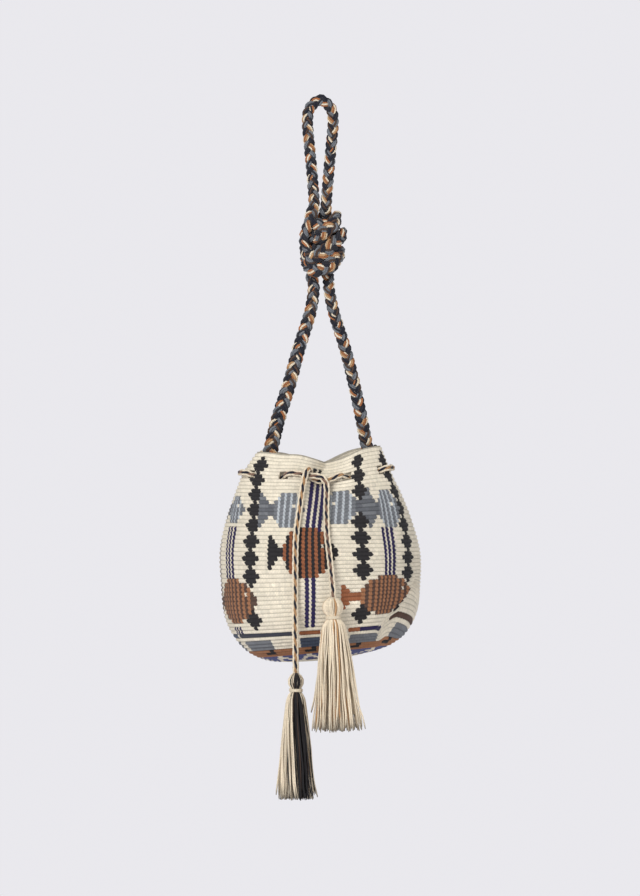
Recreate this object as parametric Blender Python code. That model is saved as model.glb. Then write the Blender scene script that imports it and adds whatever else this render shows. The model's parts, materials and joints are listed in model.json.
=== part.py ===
"""Crossbody bag: a crocheted bucket with a gathered mouth, a knotted strap and a tasselled drawstring.

Metres, +Z up. The bag hangs with its front to -Y, and the origin is where its strap loop rests on
whatever holds it: the inside of the loop, at its top.
"""

import math

import bmesh
import bpy
import numpy as np
from mathutils import Vector

# Driving dimensions

COLLECTION = "crossbody_bag"
GUIDES = "guides"
CLEARANCE = 0.0003

# The bucket. Each station is the distance below the loop, then how far the wall stands from the
# strap's axis to the left, to the right, to the front and to the back.
RIM = (0.4125, 0.077, 0.072, 0.056, 0.054)
DRAWN_NECK = (0.437, 0.094, 0.084, 0.071, 0.065)
SHOULDER = (0.470, 0.106, 0.100, 0.086, 0.077)
UPPER_BELLY = (0.503, 0.115, 0.112, 0.096, 0.084)
BELLY = (0.538, 0.121, 0.1205, 0.101, 0.088)
LOWER_BELLY = (0.578, 0.119, 0.120, 0.101, 0.088)
WALL_FOOT = (0.608, 0.116, 0.116, 0.097, 0.085)
BASE_TURN = (0.632, 0.107, 0.104, 0.087, 0.077)
BASE_EDGE = (0.650, 0.090, 0.085, 0.070, 0.063)
BASE_OUTER = (0.660, 0.066, 0.061, 0.050, 0.045)
BASE_INNER = (0.6645, 0.034, 0.031, 0.026, 0.023)
BASE_CENTRE = (0.6655, 0.0, 0.0, 0.0, 0.0)
STATIONS = (
    RIM, DRAWN_NECK, SHOULDER, UPPER_BELLY, BELLY, LOWER_BELLY,
    WALL_FOOT, BASE_TURN, BASE_EDGE, BASE_OUTER, BASE_INNER, BASE_CENTRE,
)
WALL = 0.004
ROUND_PITCH = 0.005
RIDGE = 0.0010
WALL_ROUNDS = 50
BASE_STEP_ROUNDS = 2
LINING_STEP_ROUNDS = 4

# The hang: the rim and the base aren't level, and the rim dips between the strap's two ends.
RIM_TILT = math.radians(2.8)
BASE_TILT = math.radians(5.0)
TILT_REACH = 0.10
RIM_DIP_FRONT = 0.016
RIM_DIP_BACK = 0.017
DIP_WIDTH = math.radians(25)
DIP_REACH = 0.12

# Folds, each with its angle at the rim and where it ends, its half width, its depth at the rim
# (inward is negative) and how far down the wall it reaches. Angles run from the front to the right.
PLEAT_FRONT = (math.radians(11), math.radians(-8), math.radians(11), -0.024, 0.13)
PLEAT_BACK = (math.radians(180), math.radians(184), math.radians(18), -0.014, 0.12)
RIDGE_LEFT = (math.radians(-60), math.radians(-70), math.radians(13), 0.008, 0.14)
RIDGE_RIGHT = (math.radians(64), math.radians(58), math.radians(13), 0.008, 0.14)
GUSSET_LEFT = (math.radians(-90), math.radians(-98), math.radians(15), -0.006, 0.11)
GUSSET_RIGHT = (math.radians(90), math.radians(100), math.radians(15), -0.005, 0.11)
RIDGE_BACK_LEFT = (math.radians(-128), math.radians(-120), math.radians(15), 0.006, 0.12)
RIDGE_BACK_RIGHT = (math.radians(130), math.radians(124), math.radians(15), 0.006, 0.12)
FOLDS = (
    PLEAT_FRONT, PLEAT_BACK, RIDGE_LEFT, RIDGE_RIGHT,
    GUSSET_LEFT, GUSSET_RIGHT, RIDGE_BACK_LEFT, RIDGE_BACK_RIGHT,
)
DENT_ANGLE = math.radians(60)
DENT_WIDTH = math.radians(17)
DENT_DROP = 0.225
DENT_HEIGHT = 0.026
DENT_DEPTH = 0.013

# The eyelets for the drawstring, on each side of the front, with the front's own pair first
EYELET_ANGLES = tuple(math.radians(angle) for angle in (25, 55, 105, 135, 165))
EYELET_WIDTH = 0.0136
EYELET_TOP_ROUND = 5
EYELET_ROUNDS = 2
SEGMENT_ANGLE = math.radians(13)
FRONT_SEGMENT_ANGLE = math.radians(8)

# The strap: a round braid, doubled and tied in one big overhand knot below the loop
STRAP_DIAMETER = 0.0135
STRAP_LOOP_POINTS = 25
STRAP_LEG_POINTS = 19
STRAP_SEWN_DEPTH = 0.024
STRAP_SEAM = 0.0008
LOOP_ROUTE = (
    (-0.0075, 0.0, -0.1400), (-0.0072, 0.0, -0.1200), (-0.0095, 0.0, -0.0850), (-0.0128, 0.0, -0.0500),
    (-0.0152, 0.0, -0.0220), (-0.0128, 0.0, -0.0040), (0.0, 0.0, 0.00675), (0.0130, 0.0, -0.0040),
    (0.0154, 0.0, -0.0220), (0.0130, 0.0, -0.0500), (0.0098, 0.0, -0.0850), (0.0072, 0.0, -0.1200),
    (0.0075, 0.0, -0.1400),
)
LEFT_LEG_ROUTE = (
    (-0.0060, 0.0, -0.1950), (-0.0070, 0.0, -0.2130), (-0.0078, 0.0, -0.2230), (-0.0126, 0.0, -0.2507),
    (-0.0257, 0.0, -0.2922), (-0.0367, 0.0, -0.3330), (-0.0500, 0.0, -0.3750),
)
RIGHT_LEG_ROUTE = (
    (0.0085, 0.0, -0.1950), (0.0095, 0.0, -0.2130), (0.0110, 0.0, -0.2230), (0.0170, 0.0, -0.2507),
    (0.0301, 0.0, -0.2922), (0.0404, 0.0, -0.3330), (0.0494, 0.0, -0.3750),
)
KNOT_CENTRE = (0.0035, 0.0, -0.1665)
KNOT_CORE = (0.0205, 0.0190, 0.0330)
KNOT_WRAP_RADII = (0.0200, 0.0180)
KNOT_WRAP_POINTS = 14
KNOT_PULL_IN = 1.25
KNOT_WRAPS = ((-0.0185, 38.0), (-0.0035, 32.0), (0.0115, 34.0), (0.0225, -30.0))

# The drawstring: a slim flat braid, threaded through the eyelets and crossed over the front pleat
CORD_DIAMETER = 0.005
LEFT_TAIL_POINTS = 21
RIGHT_TAIL_POINTS = 15
CORD_STAND = 0.0013
CORD_BEND = 0.009
CORD_STEP_ANGLE = math.radians(9.5)
LEFT_TAIL_ROUTE = (
    (0.0230, -0.0690, -0.4385), (0.0080, -0.0755, -0.4385), (-0.0090, -0.0775, -0.4400),
    (-0.0185, -0.0805, -0.4520), (-0.0228, -0.0888, -0.4780), (-0.0284, -0.0980, -0.5142),
    (-0.0294, -0.1020, -0.5430), (-0.0294, -0.1025, -0.5802), (-0.0296, -0.1025, -0.6186),
    (-0.0292, -0.1025, -0.6500), (-0.0288, -0.1025, -0.6769),
)
RIGHT_TAIL_ROUTE = (
    (-0.0300, -0.0727, -0.4412), (-0.0130, -0.0702, -0.4425), (0.0030, -0.0690, -0.4450),
    (0.0085, -0.0735, -0.4560), (0.0072, -0.0885, -0.4806), (0.0080, -0.1005, -0.5118),
    (0.0115, -0.1060, -0.5430), (0.0138, -0.1102, -0.5680), (0.0149, -0.1120, -0.5790),
    (0.0150, -0.1122, -0.5869),
)

# The tassels: a yarn bundle folded over the drawstring's end, bound below its head
BINDING_RADIUS = 0.0009
BINDING_TURNS = 2
GROOVE = 0.06
TASSEL_STRANDS = 14
HEM_TUCK = 0.92
LEFT_HEAD_RADIUS = 0.0098
LEFT_NECK_RADIUS = 0.0066
LEFT_SKIRT_RADIUS = 0.0100
LEFT_HEM_RADIUS = 0.0222
LEFT_TASSEL_LENGTH = 0.150
RIGHT_HEAD_RADIUS = 0.0118
RIGHT_NECK_RADIUS = 0.0078
RIGHT_SKIRT_RADIUS = 0.0130
RIGHT_HEM_RADIUS = 0.0270
RIGHT_TASSEL_LENGTH = 0.159
RIGHT_TASSEL_LEAN = math.radians(2.6)

CREAM = (0.72, 0.63, 0.48, 1.0)
CHARCOAL = (0.035, 0.034, 0.042, 1.0)
TASSEL_CREAM = (0.78, 0.68, 0.52, 1.0)
BLACK = (0.025, 0.023, 0.024, 1.0)
YARN_ROUGHNESS = 0.92


def clear_scene():
    for obj in list(bpy.data.objects):
        bpy.data.objects.remove(obj, do_unlink=True)


def new_collection(name):
    collection = bpy.data.collections.new(name)
    bpy.context.scene.collection.children.link(collection)
    return collection


def yarn(name, colour):
    material = bpy.data.materials.new(name)
    material.use_nodes = True
    shader = material.node_tree.nodes["Principled BSDF"]
    shader.inputs["Base Color"].default_value = colour
    shader.inputs["Roughness"].default_value = YARN_ROUGHNESS
    shader.inputs["Metallic"].default_value = 0.0
    return material


def add_mesh(bm, name, material, collection):
    """Makes an object of a bmesh, with its faces turned outward, and frees the bmesh."""
    bmesh.ops.recalc_face_normals(bm, faces=bm.faces[:])
    mesh = bpy.data.meshes.new(name)
    bm.to_mesh(mesh)
    bm.free()
    mesh.shade_smooth()
    mesh.materials.append(material)
    obj = bpy.data.objects.new(name, mesh)
    collection.objects.link(obj)
    return obj


def spline_point(points, place):
    """The point of a Catmull-Rom curve at this place, where whole numbers are the given points."""
    last = len(points) - 1
    index = min(int(place), last - 1)
    part = place - index
    before = points[max(index - 1, 0)]
    start = points[index]
    end = points[index + 1]
    after = points[min(index + 2, last)]
    return 0.5 * (
        2 * start + (end - before) * part
        + (2 * before - 5 * start + 4 * end - after) * part**2
        + (3 * start - before - 3 * end + after) * part**3
    )


def even_points(route, count):
    """That many points at even distances along the smooth curve through a route."""
    points = np.array(route, float)
    places = np.linspace(0, len(points) - 1, 40 * len(points))
    curve = np.array([spline_point(points, place) for place in places])
    lengths = np.concatenate([[0], np.cumsum(np.linalg.norm(np.diff(curve, axis=0), axis=1))])
    marks = np.linspace(0, lengths[-1], count)
    return np.column_stack([np.interp(marks, lengths, curve[:, axis]) for axis in range(3)])


def turn_between(angle, centre):
    """The angle from centre, between half a turn back and half a turn on."""
    return (angle - centre + math.pi) % (2 * math.pi) - math.pi


class Wall:
    """The bucket's outer surface, by angle from the front and by distance down from the rim."""

    def __init__(self):
        self.stations = np.array(STATIONS, float)
        self.places = np.linspace(0, len(STATIONS) - 1, 600)
        rings = np.array([spline_point(self.stations, place) for place in self.places])
        radius = rings[:, 1:].mean(axis=1)
        steps = np.hypot(np.diff(radius), np.diff(rings[:, 0]))
        self.drops = np.concatenate([[0], np.cumsum(steps)])
        self.length = self.drops[-1]

    def smooth_point(self, angle, drop):
        place = np.interp(drop, self.drops, self.places)
        depth, left, right, front, back = spline_point(self.stations, place)
        across = math.sin(angle)
        along = -math.cos(angle)
        side = right if across > 0 else left
        x = (right - left) / 2 + across * (left + right) / 2
        y = along * ((front + back) / 2) + (back - front) / 2 * along**2
        if side <= 0:
            return Vector((0, 0, -depth))
        push = self.fold_depth(angle, drop) / max(math.hypot(x, y), 0.02)
        x += x * push
        y += y * push
        return Vector((x, y, -depth + self.hang(angle, drop, x)))

    def fold_depth(self, angle, drop):
        total = 0.0
        for rim_angle, end_angle, width, depth, reach in FOLDS:
            part = min(drop / reach, 1.0)
            offset = turn_between(angle, rim_angle + (end_angle - rim_angle) * part)
            total += depth * math.exp(-((offset / width) ** 2)) * (1 - part) ** 1.3
        sideways = turn_between(angle, DENT_ANGLE) / DENT_WIDTH
        downward = (drop - DENT_DROP) / DENT_HEIGHT - sideways * 0.5
        total -= DENT_DEPTH * math.exp(-(sideways**2) - downward**2)
        return total

    def hang(self, angle, drop, x):
        upper = max(1 - drop / TILT_REACH, 0.0)
        lower = max(1 - (self.length - drop) / TILT_REACH, 0.0)
        tilt = math.tan(RIM_TILT) * upper + math.tan(BASE_TILT) * min(2 * lower, 1.0)
        front = turn_between(angle, PLEAT_FRONT[0]) / DIP_WIDTH
        back = turn_between(angle, PLEAT_BACK[0]) / DIP_WIDTH
        dip = RIM_DIP_FRONT * math.exp(-(front**2)) + RIM_DIP_BACK * math.exp(-(back**2))
        return x * tilt - dip * max(1 - drop / DIP_REACH, 0.0) ** 2

    def point(self, angle, drop, outward=0.0):
        """A point this far outside the outer surface, or inside it where that is negative."""
        step = 0.002
        here = self.smooth_point(angle, drop)
        if outward == 0.0:
            return here
        low = min(drop + step, self.length * 0.999)
        high = max(drop - step, 0.0)
        sideways = self.smooth_point(angle + 0.02, drop) - self.smooth_point(angle - 0.02, drop)
        downward = self.smooth_point(angle, low) - self.smooth_point(angle, high)
        normal = downward.cross(sideways)
        if normal.length < 1e-12:
            normal = Vector((0, 0, -1))
        return here + normal.normalized() * outward

    def angle_across(self, angle, drop, width):
        """The angle that this width takes up along the wall."""
        step = 0.02
        reach = (self.point(angle + step, drop) - self.point(angle - step, drop)).length
        return width * 2 * step / reach


def eyelet_level():
    """How far below the rim the middle of the eyelets lies."""
    return (EYELET_TOP_ROUND + EYELET_ROUNDS / 2) * ROUND_PITCH


def eyelet_centres():
    """Every eyelet's angle, from the back's left round by the front to the back's right."""
    return sorted([-angle for angle in EYELET_ANGLES] + list(EYELET_ANGLES))


def wall_angles(wall):
    """The wall's segment edges, and which of its segments are eyelets."""
    centres = eyelet_centres()
    level = eyelet_level()
    halves = [wall.angle_across(centre, level, EYELET_WIDTH / 2) for centre in centres]
    angles = []
    eyelets = set()
    for index, centre in enumerate(centres):
        after = (index + 1) % len(centres)
        start = centre + halves[index]
        end = centres[after] - halves[after] + (0 if after else 2 * math.pi)
        step = FRONT_SEGMENT_ANGLE if start < 0 < end else SEGMENT_ANGLE
        count = max(round((end - start) / step), 1)
        eyelets.add(len(angles))
        angles.append(centre - halves[index])
        angles += [start + (end - start) * part / count for part in range(count)]
    return angles, eyelets


def ring_of(bm, wall, angles, drop, outward):
    return [bm.verts.new(wall.point(angle, drop, outward)) for angle in angles]


def lay_faces(bm, upper, lower, skipped):
    """The faces between two rings, leaving out the segments whose place is in skipped."""
    count = len(upper)
    for index in range(count):
        if index not in skipped:
            after = (index + 1) % count
            bm.faces.new((upper[index], upper[after], lower[after], lower[index]))


def bag_body(wall, material, collection):
    """The crocheted bucket: ridged rounds outside, a plain inner face, and holes for the drawstring."""
    bm = bmesh.new()
    angles, eyelets = wall_angles(wall)
    half = ROUND_PITCH / 2
    first = 2 * EYELET_TOP_ROUND
    last = first + 2 * EYELET_ROUNDS

    outer = [
        ring_of(bm, wall, angles, step * half, -RIDGE if step % 2 == 0 else 0.0)
        for step in range(2 * WALL_ROUNDS + 1)
    ]
    for step in range(len(outer) - 1):
        lay_faces(bm, outer[step], outer[step + 1], eyelets if first <= step < last else ())
    above = outer[-1]
    base_drop = WALL_ROUNDS * ROUND_PITCH
    base_step = BASE_STEP_ROUNDS * half
    steps = int((wall.length - base_drop) / base_step)
    for step in range(1, steps):
        ring = ring_of(bm, wall, angles, base_drop + step * base_step, -RIDGE if step % 2 == 0 else 0.0)
        lay_faces(bm, above, ring, ())
        above = ring
    bm.faces.new(above)

    inner = lining_rings(bm, wall, angles, eyelets)
    lay_faces(bm, inner["rim"], outer[0], ())
    for index in sorted(eyelets):
        after = (index + 1) % len(angles)
        upper, lower = inner["eyelet"]
        bm.faces.new((outer[first][index], outer[first][after], upper[after], upper[index]))
        bm.faces.new((outer[last][after], outer[last][index], lower[index], lower[after]))
        for side in (index, after):
            jamb = [outer[step][side] for step in range(first, last + 1)]
            bm.faces.new(jamb + [lower[side], upper[side]])
    return add_mesh(bm, "bag_body", material, collection)


def lining_rings(bm, wall, angles, eyelets):
    """The wall's inner face, in coarser steps, with edges at the top and the foot of the eyelets."""
    top = EYELET_TOP_ROUND * ROUND_PITCH
    foot = top + EYELET_ROUNDS * ROUND_PITCH
    step = LINING_STEP_ROUNDS * ROUND_PITCH
    drops = [0.0, top / 2, top, foot]
    while drops[-1] + step < wall.length - step:
        drops.append(drops[-1] + step)
    rings = [ring_of(bm, wall, angles, drop, -WALL) for drop in drops]
    for index in range(len(rings) - 1):
        lay_faces(bm, rings[index], rings[index + 1], eyelets if drops[index] == top else ())
    bm.faces.new(rings[-1])
    return {"rim": rings[0], "eyelet": (rings[2], rings[3])}


def tube(name, points, diameter, material, collection):
    """A round cord along these points: a curve object with a bevel and filled ends."""
    data = bpy.data.curves.new(name, "CURVE")
    data.dimensions = "3D"
    data.bevel_depth = diameter / 2
    data.bevel_resolution = 2
    data.use_fill_caps = True
    spline = data.splines.new("POLY")
    spline.points.add(len(points) - 1)
    for slot, place in zip(spline.points, points):
        slot.co = (*place, 1.0)
    data.materials.append(material)
    obj = bpy.data.objects.new(name, data)
    collection.objects.link(obj)
    return obj


def as_mesh(obj):
    """The object's evaluated shape as a closed mesh object in its place."""
    bpy.context.view_layer.update()
    graph = bpy.context.evaluated_depsgraph_get()
    mesh = bpy.data.meshes.new_from_object(obj.evaluated_get(graph))
    bm = bmesh.new()
    bm.from_mesh(mesh)
    bmesh.ops.remove_doubles(bm, verts=bm.verts[:], dist=1e-6)
    bmesh.ops.recalc_face_normals(bm, faces=bm.faces[:])
    bm.to_mesh(mesh)
    bm.free()
    solid = bpy.data.objects.new(obj.name, mesh)
    solid.matrix_world = obj.matrix_world.copy()
    for collection in obj.users_collection:
        collection.objects.link(solid)
    name = obj.name
    bpy.data.objects.remove(obj, do_unlink=True)
    solid.name = name
    return solid


def sewn_end(wall, angle, above):
    """A leg's last stretch: over the rim's level and down the inner face that it is sewn to."""
    stand = WALL + STRAP_DIAMETER / 2 + STRAP_SEAM
    drops = (0.0, STRAP_SEWN_DEPTH / 2, STRAP_SEWN_DEPTH)
    points = [wall.point(angle, drop, -stand) for drop in drops]
    lift = above[2] - points[0].z
    entry = points[0] + Vector((0, 0, lift * 0.35))
    entry.x += (above[0] - points[0].x) * 0.35
    return [tuple(entry)] + [tuple(point) for point in points]


def knot_wrap(name, height, lean, material, collection):
    """One pass of the strap round the knot: a leaning ring about the knot's core."""
    across, deep = KNOT_WRAP_RADII
    slope = math.tan(math.radians(lean))
    squeeze = math.sqrt(max(1 - (height / (KNOT_CORE[2] * KNOT_PULL_IN)) ** 2, 0.1))
    points = []
    for step in range(KNOT_WRAP_POINTS):
        turn = 2 * math.pi * step / KNOT_WRAP_POINTS
        x = across * squeeze * math.cos(turn)
        y = deep * squeeze * math.sin(turn)
        z = height + x * slope * (1 if y <= 0 else -1) * min(abs(math.sin(turn)) * 2, 1.0)
        points.append(Vector(KNOT_CENTRE) + Vector((x, y, z)))
    ring = tube(name, points, STRAP_DIAMETER, material, collection)
    ring.data.splines[0].use_cyclic_u = True
    ring.data.use_fill_caps = False
    return ring


def knot_core(name, material, collection):
    bm = bmesh.new()
    bmesh.ops.create_uvsphere(bm, u_segments=16, v_segments=10, radius=1.0)
    bmesh.ops.scale(bm, vec=KNOT_CORE, verts=bm.verts)
    bmesh.ops.translate(bm, vec=KNOT_CENTRE, verts=bm.verts)
    return add_mesh(bm, name, material, collection)


def strap(wall, material, collection, guides):
    """One braid from end to end. Its knot is solid: the passes of the braid lie on a common core."""
    left_route = LEFT_LEG_ROUTE + tuple(sewn_end(wall, GUSSET_LEFT[0], LEFT_LEG_ROUTE[-1]))
    right_route = RIGHT_LEG_ROUTE + tuple(sewn_end(wall, GUSSET_RIGHT[0], RIGHT_LEG_ROUTE[-1]))
    loop_points = even_points(LOOP_ROUTE, STRAP_LOOP_POINTS)
    loop = as_mesh(tube("strap", loop_points, STRAP_DIAMETER, material, collection))
    pieces = [knot_core("strap_knot_core", material, guides)]
    for name, route in (("strap_leg_left", left_route), ("strap_leg_right", right_route)):
        points = even_points(route, STRAP_LEG_POINTS)
        pieces.append(as_mesh(tube(name, points, STRAP_DIAMETER, material, guides)))
    for index, (height, lean) in enumerate(KNOT_WRAPS):
        pieces.append(as_mesh(knot_wrap(f"strap_wrap_{index}", height, lean, material, guides)))
    for piece in pieces:
        joined = loop.modifiers.new("with_" + piece.name, "BOOLEAN")
        joined.operation = "UNION"
        joined.solver = "EXACT"
        joined.object = piece
        piece.hide_render = True
        piece.display_type = "WIRE"
    return loop


def threaded_points(wall):
    """The drawstring round the mouth, in and out of the eyelets, from the front's right to its left."""
    level = eyelet_level()
    stand = CORD_DIAMETER / 2 + CORD_STAND
    outside = stand
    inside = -WALL - stand
    near_step = WALL / 2 + stand
    centres = list(EYELET_ANGLES) + [2 * math.pi - angle for angle in reversed(EYELET_ANGLES)]
    points = []
    side = outside
    for index, centre in enumerate(centres):
        near = wall.angle_across(centre, level, near_step)
        far = wall.angle_across(centre, level, near_step + CORD_BEND)
        other = inside if side == outside else outside
        if index > 0:
            points.append(wall.point(centre - far, level, side))
        points.append(wall.point(centre - near, level, side))
        points.append(wall.point(centre + near, level, other))
        if index + 1 < len(centres):
            points.append(wall.point(centre + far, level, other))
            span = centres[index + 1] - centre - 2 * far
            middles = round(span / CORD_STEP_ANGLE)
            for step in range(1, middles):
                angle = centre + far + span * step / middles
                points.append(wall.point(angle, level, other))
        side = other
    return [tuple(point) for point in points]


def drawstring(wall, material, collection):
    """One limp cord: the left tail, round the mouth through every eyelet, and the right tail."""
    threaded = threaded_points(wall)
    left = list(even_points(list(reversed(LEFT_TAIL_ROUTE)) + threaded[:1], LEFT_TAIL_POINTS))
    right = list(even_points(threaded[-1:] + list(RIGHT_TAIL_ROUTE), RIGHT_TAIL_POINTS))
    points = left + threaded[1:-1] + right
    return tube("drawstring", points, CORD_DIAMETER, material, collection)


class TasselSizes:
    """One tassel's sizes, with its heights counted from the middle of its head."""

    def __init__(self, head_radius, neck_radius, skirt_radius, hem_radius, length):
        self.head_radius = head_radius
        self.neck_radius = neck_radius
        self.skirt_radius = skirt_radius
        self.hem_radius = hem_radius
        self.neck = -head_radius * 0.84
        self.skirt = self.neck - 2 * BINDING_RADIUS * BINDING_TURNS - 2 * CLEARANCE
        self.hem = head_radius - length

    def profile(self):
        """Radius and height, from the top of the head down to the hem."""
        points = []
        for turn in (80, 58, 32, 6, -20, -44):
            radius = self.head_radius * math.cos(math.radians(turn))
            points.append((radius, self.head_radius * math.sin(math.radians(turn))))
        points += [(self.neck_radius, self.neck), (self.neck_radius, self.skirt)]
        for share in (0.04, 0.2, 0.45, 0.7, HEM_TUCK, 1.0):
            radius = self.skirt_radius + (self.hem_radius - self.skirt_radius) * min(share / HEM_TUCK, 1)
            points.append((radius, self.skirt + (self.hem - self.skirt) * share))
        return points


def tassel(name, sizes, place, lean, material, collection):
    """A yarn bundle, turned about its own axis, with the grooves between its strands."""
    bm = bmesh.new()
    segments = 2 * TASSEL_STRANDS
    rings = []
    for radius, height in sizes.profile():
        ring = []
        for step in range(segments):
            turn = 2 * math.pi * step / segments
            groove = GROOVE if step % 2 else 0.0
            across = radius * (1 - groove)
            ring.append(bm.verts.new((across * math.cos(turn), across * math.sin(turn), height)))
        rings.append(ring)
    for upper, lower in zip(rings, rings[1:]):
        lay_faces(bm, upper, lower, ())
    bm.faces.new(rings[0])
    bm.faces.new(rings[-1])
    obj = add_mesh(bm, name, material, collection)
    obj.location = place
    obj.rotation_euler = (0, -lean, 0)
    return obj


def binding(name, sizes, carrier, material, collection):
    """The yarn wound round a tassel's neck: turns side by side, as one ribbed ring."""
    bm = bmesh.new()
    segments = 16
    inner = sizes.neck_radius + CLEARANCE
    top = sizes.neck - CLEARANCE
    section = [(inner, top)]
    for turn in range(BINDING_TURNS):
        centre = top - BINDING_RADIUS * (2 * turn + 1)
        section += [(inner + BINDING_RADIUS, centre + BINDING_RADIUS * 0.8)]
        section += [(inner + BINDING_RADIUS * 2, centre)]
        section += [(inner + BINDING_RADIUS, centre - BINDING_RADIUS * 0.8)]
    section += [(inner, top - 2 * BINDING_RADIUS * BINDING_TURNS)]
    rings = []
    for step in range(segments):
        turn = 2 * math.pi * step / segments
        rings.append([bm.verts.new((r * math.cos(turn), r * math.sin(turn), z)) for r, z in section])
    for step in range(segments):
        lay_faces(bm, rings[step], rings[(step + 1) % segments], ())
    obj = add_mesh(bm, name, material, collection)
    obj.parent = carrier
    return obj


def main():
    clear_scene()
    parts = new_collection(COLLECTION)
    guides = new_collection(GUIDES)
    wall = Wall()
    bag_body(wall, yarn("crochet_cotton", CREAM), parts)
    strap(wall, yarn("strap_braid", CHARCOAL), parts, guides)
    drawstring(wall, yarn("drawstring_braid", CREAM), parts)
    left_sizes = TasselSizes(
        LEFT_HEAD_RADIUS, LEFT_NECK_RADIUS, LEFT_SKIRT_RADIUS, LEFT_HEM_RADIUS, LEFT_TASSEL_LENGTH
    )
    right_sizes = TasselSizes(
        RIGHT_HEAD_RADIUS, RIGHT_NECK_RADIUS, RIGHT_SKIRT_RADIUS, RIGHT_HEM_RADIUS, RIGHT_TASSEL_LENGTH
    )
    tassels = (
        ("tassel_left", left_sizes, LEFT_TAIL_ROUTE[-1], 0.0, BLACK),
        ("tassel_right", right_sizes, RIGHT_TAIL_ROUTE[-1], RIGHT_TASSEL_LEAN, TASSEL_CREAM),
    )
    for name, sizes, cord_end, lean, colour in tassels:
        place = Vector(cord_end) - Vector((0, 0, sizes.head_radius + CLEARANCE))
        bundle = tassel(name, sizes, place, lean, yarn(name + "_yarn", colour), parts)
        binding(name + "_binding", sizes, bundle, yarn(name + "_binding_yarn", TASSEL_CREAM), parts)


main()
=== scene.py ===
"""Crossbody bag: the visual model of a crocheted bucket bag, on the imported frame.

Metres, +Z up, the bag's front towards -Y. The bag hangs by its strap, whose loop has the origin at its top.
"""

import json
import logging
import math
from dataclasses import dataclass, field
from enum import Enum

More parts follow.
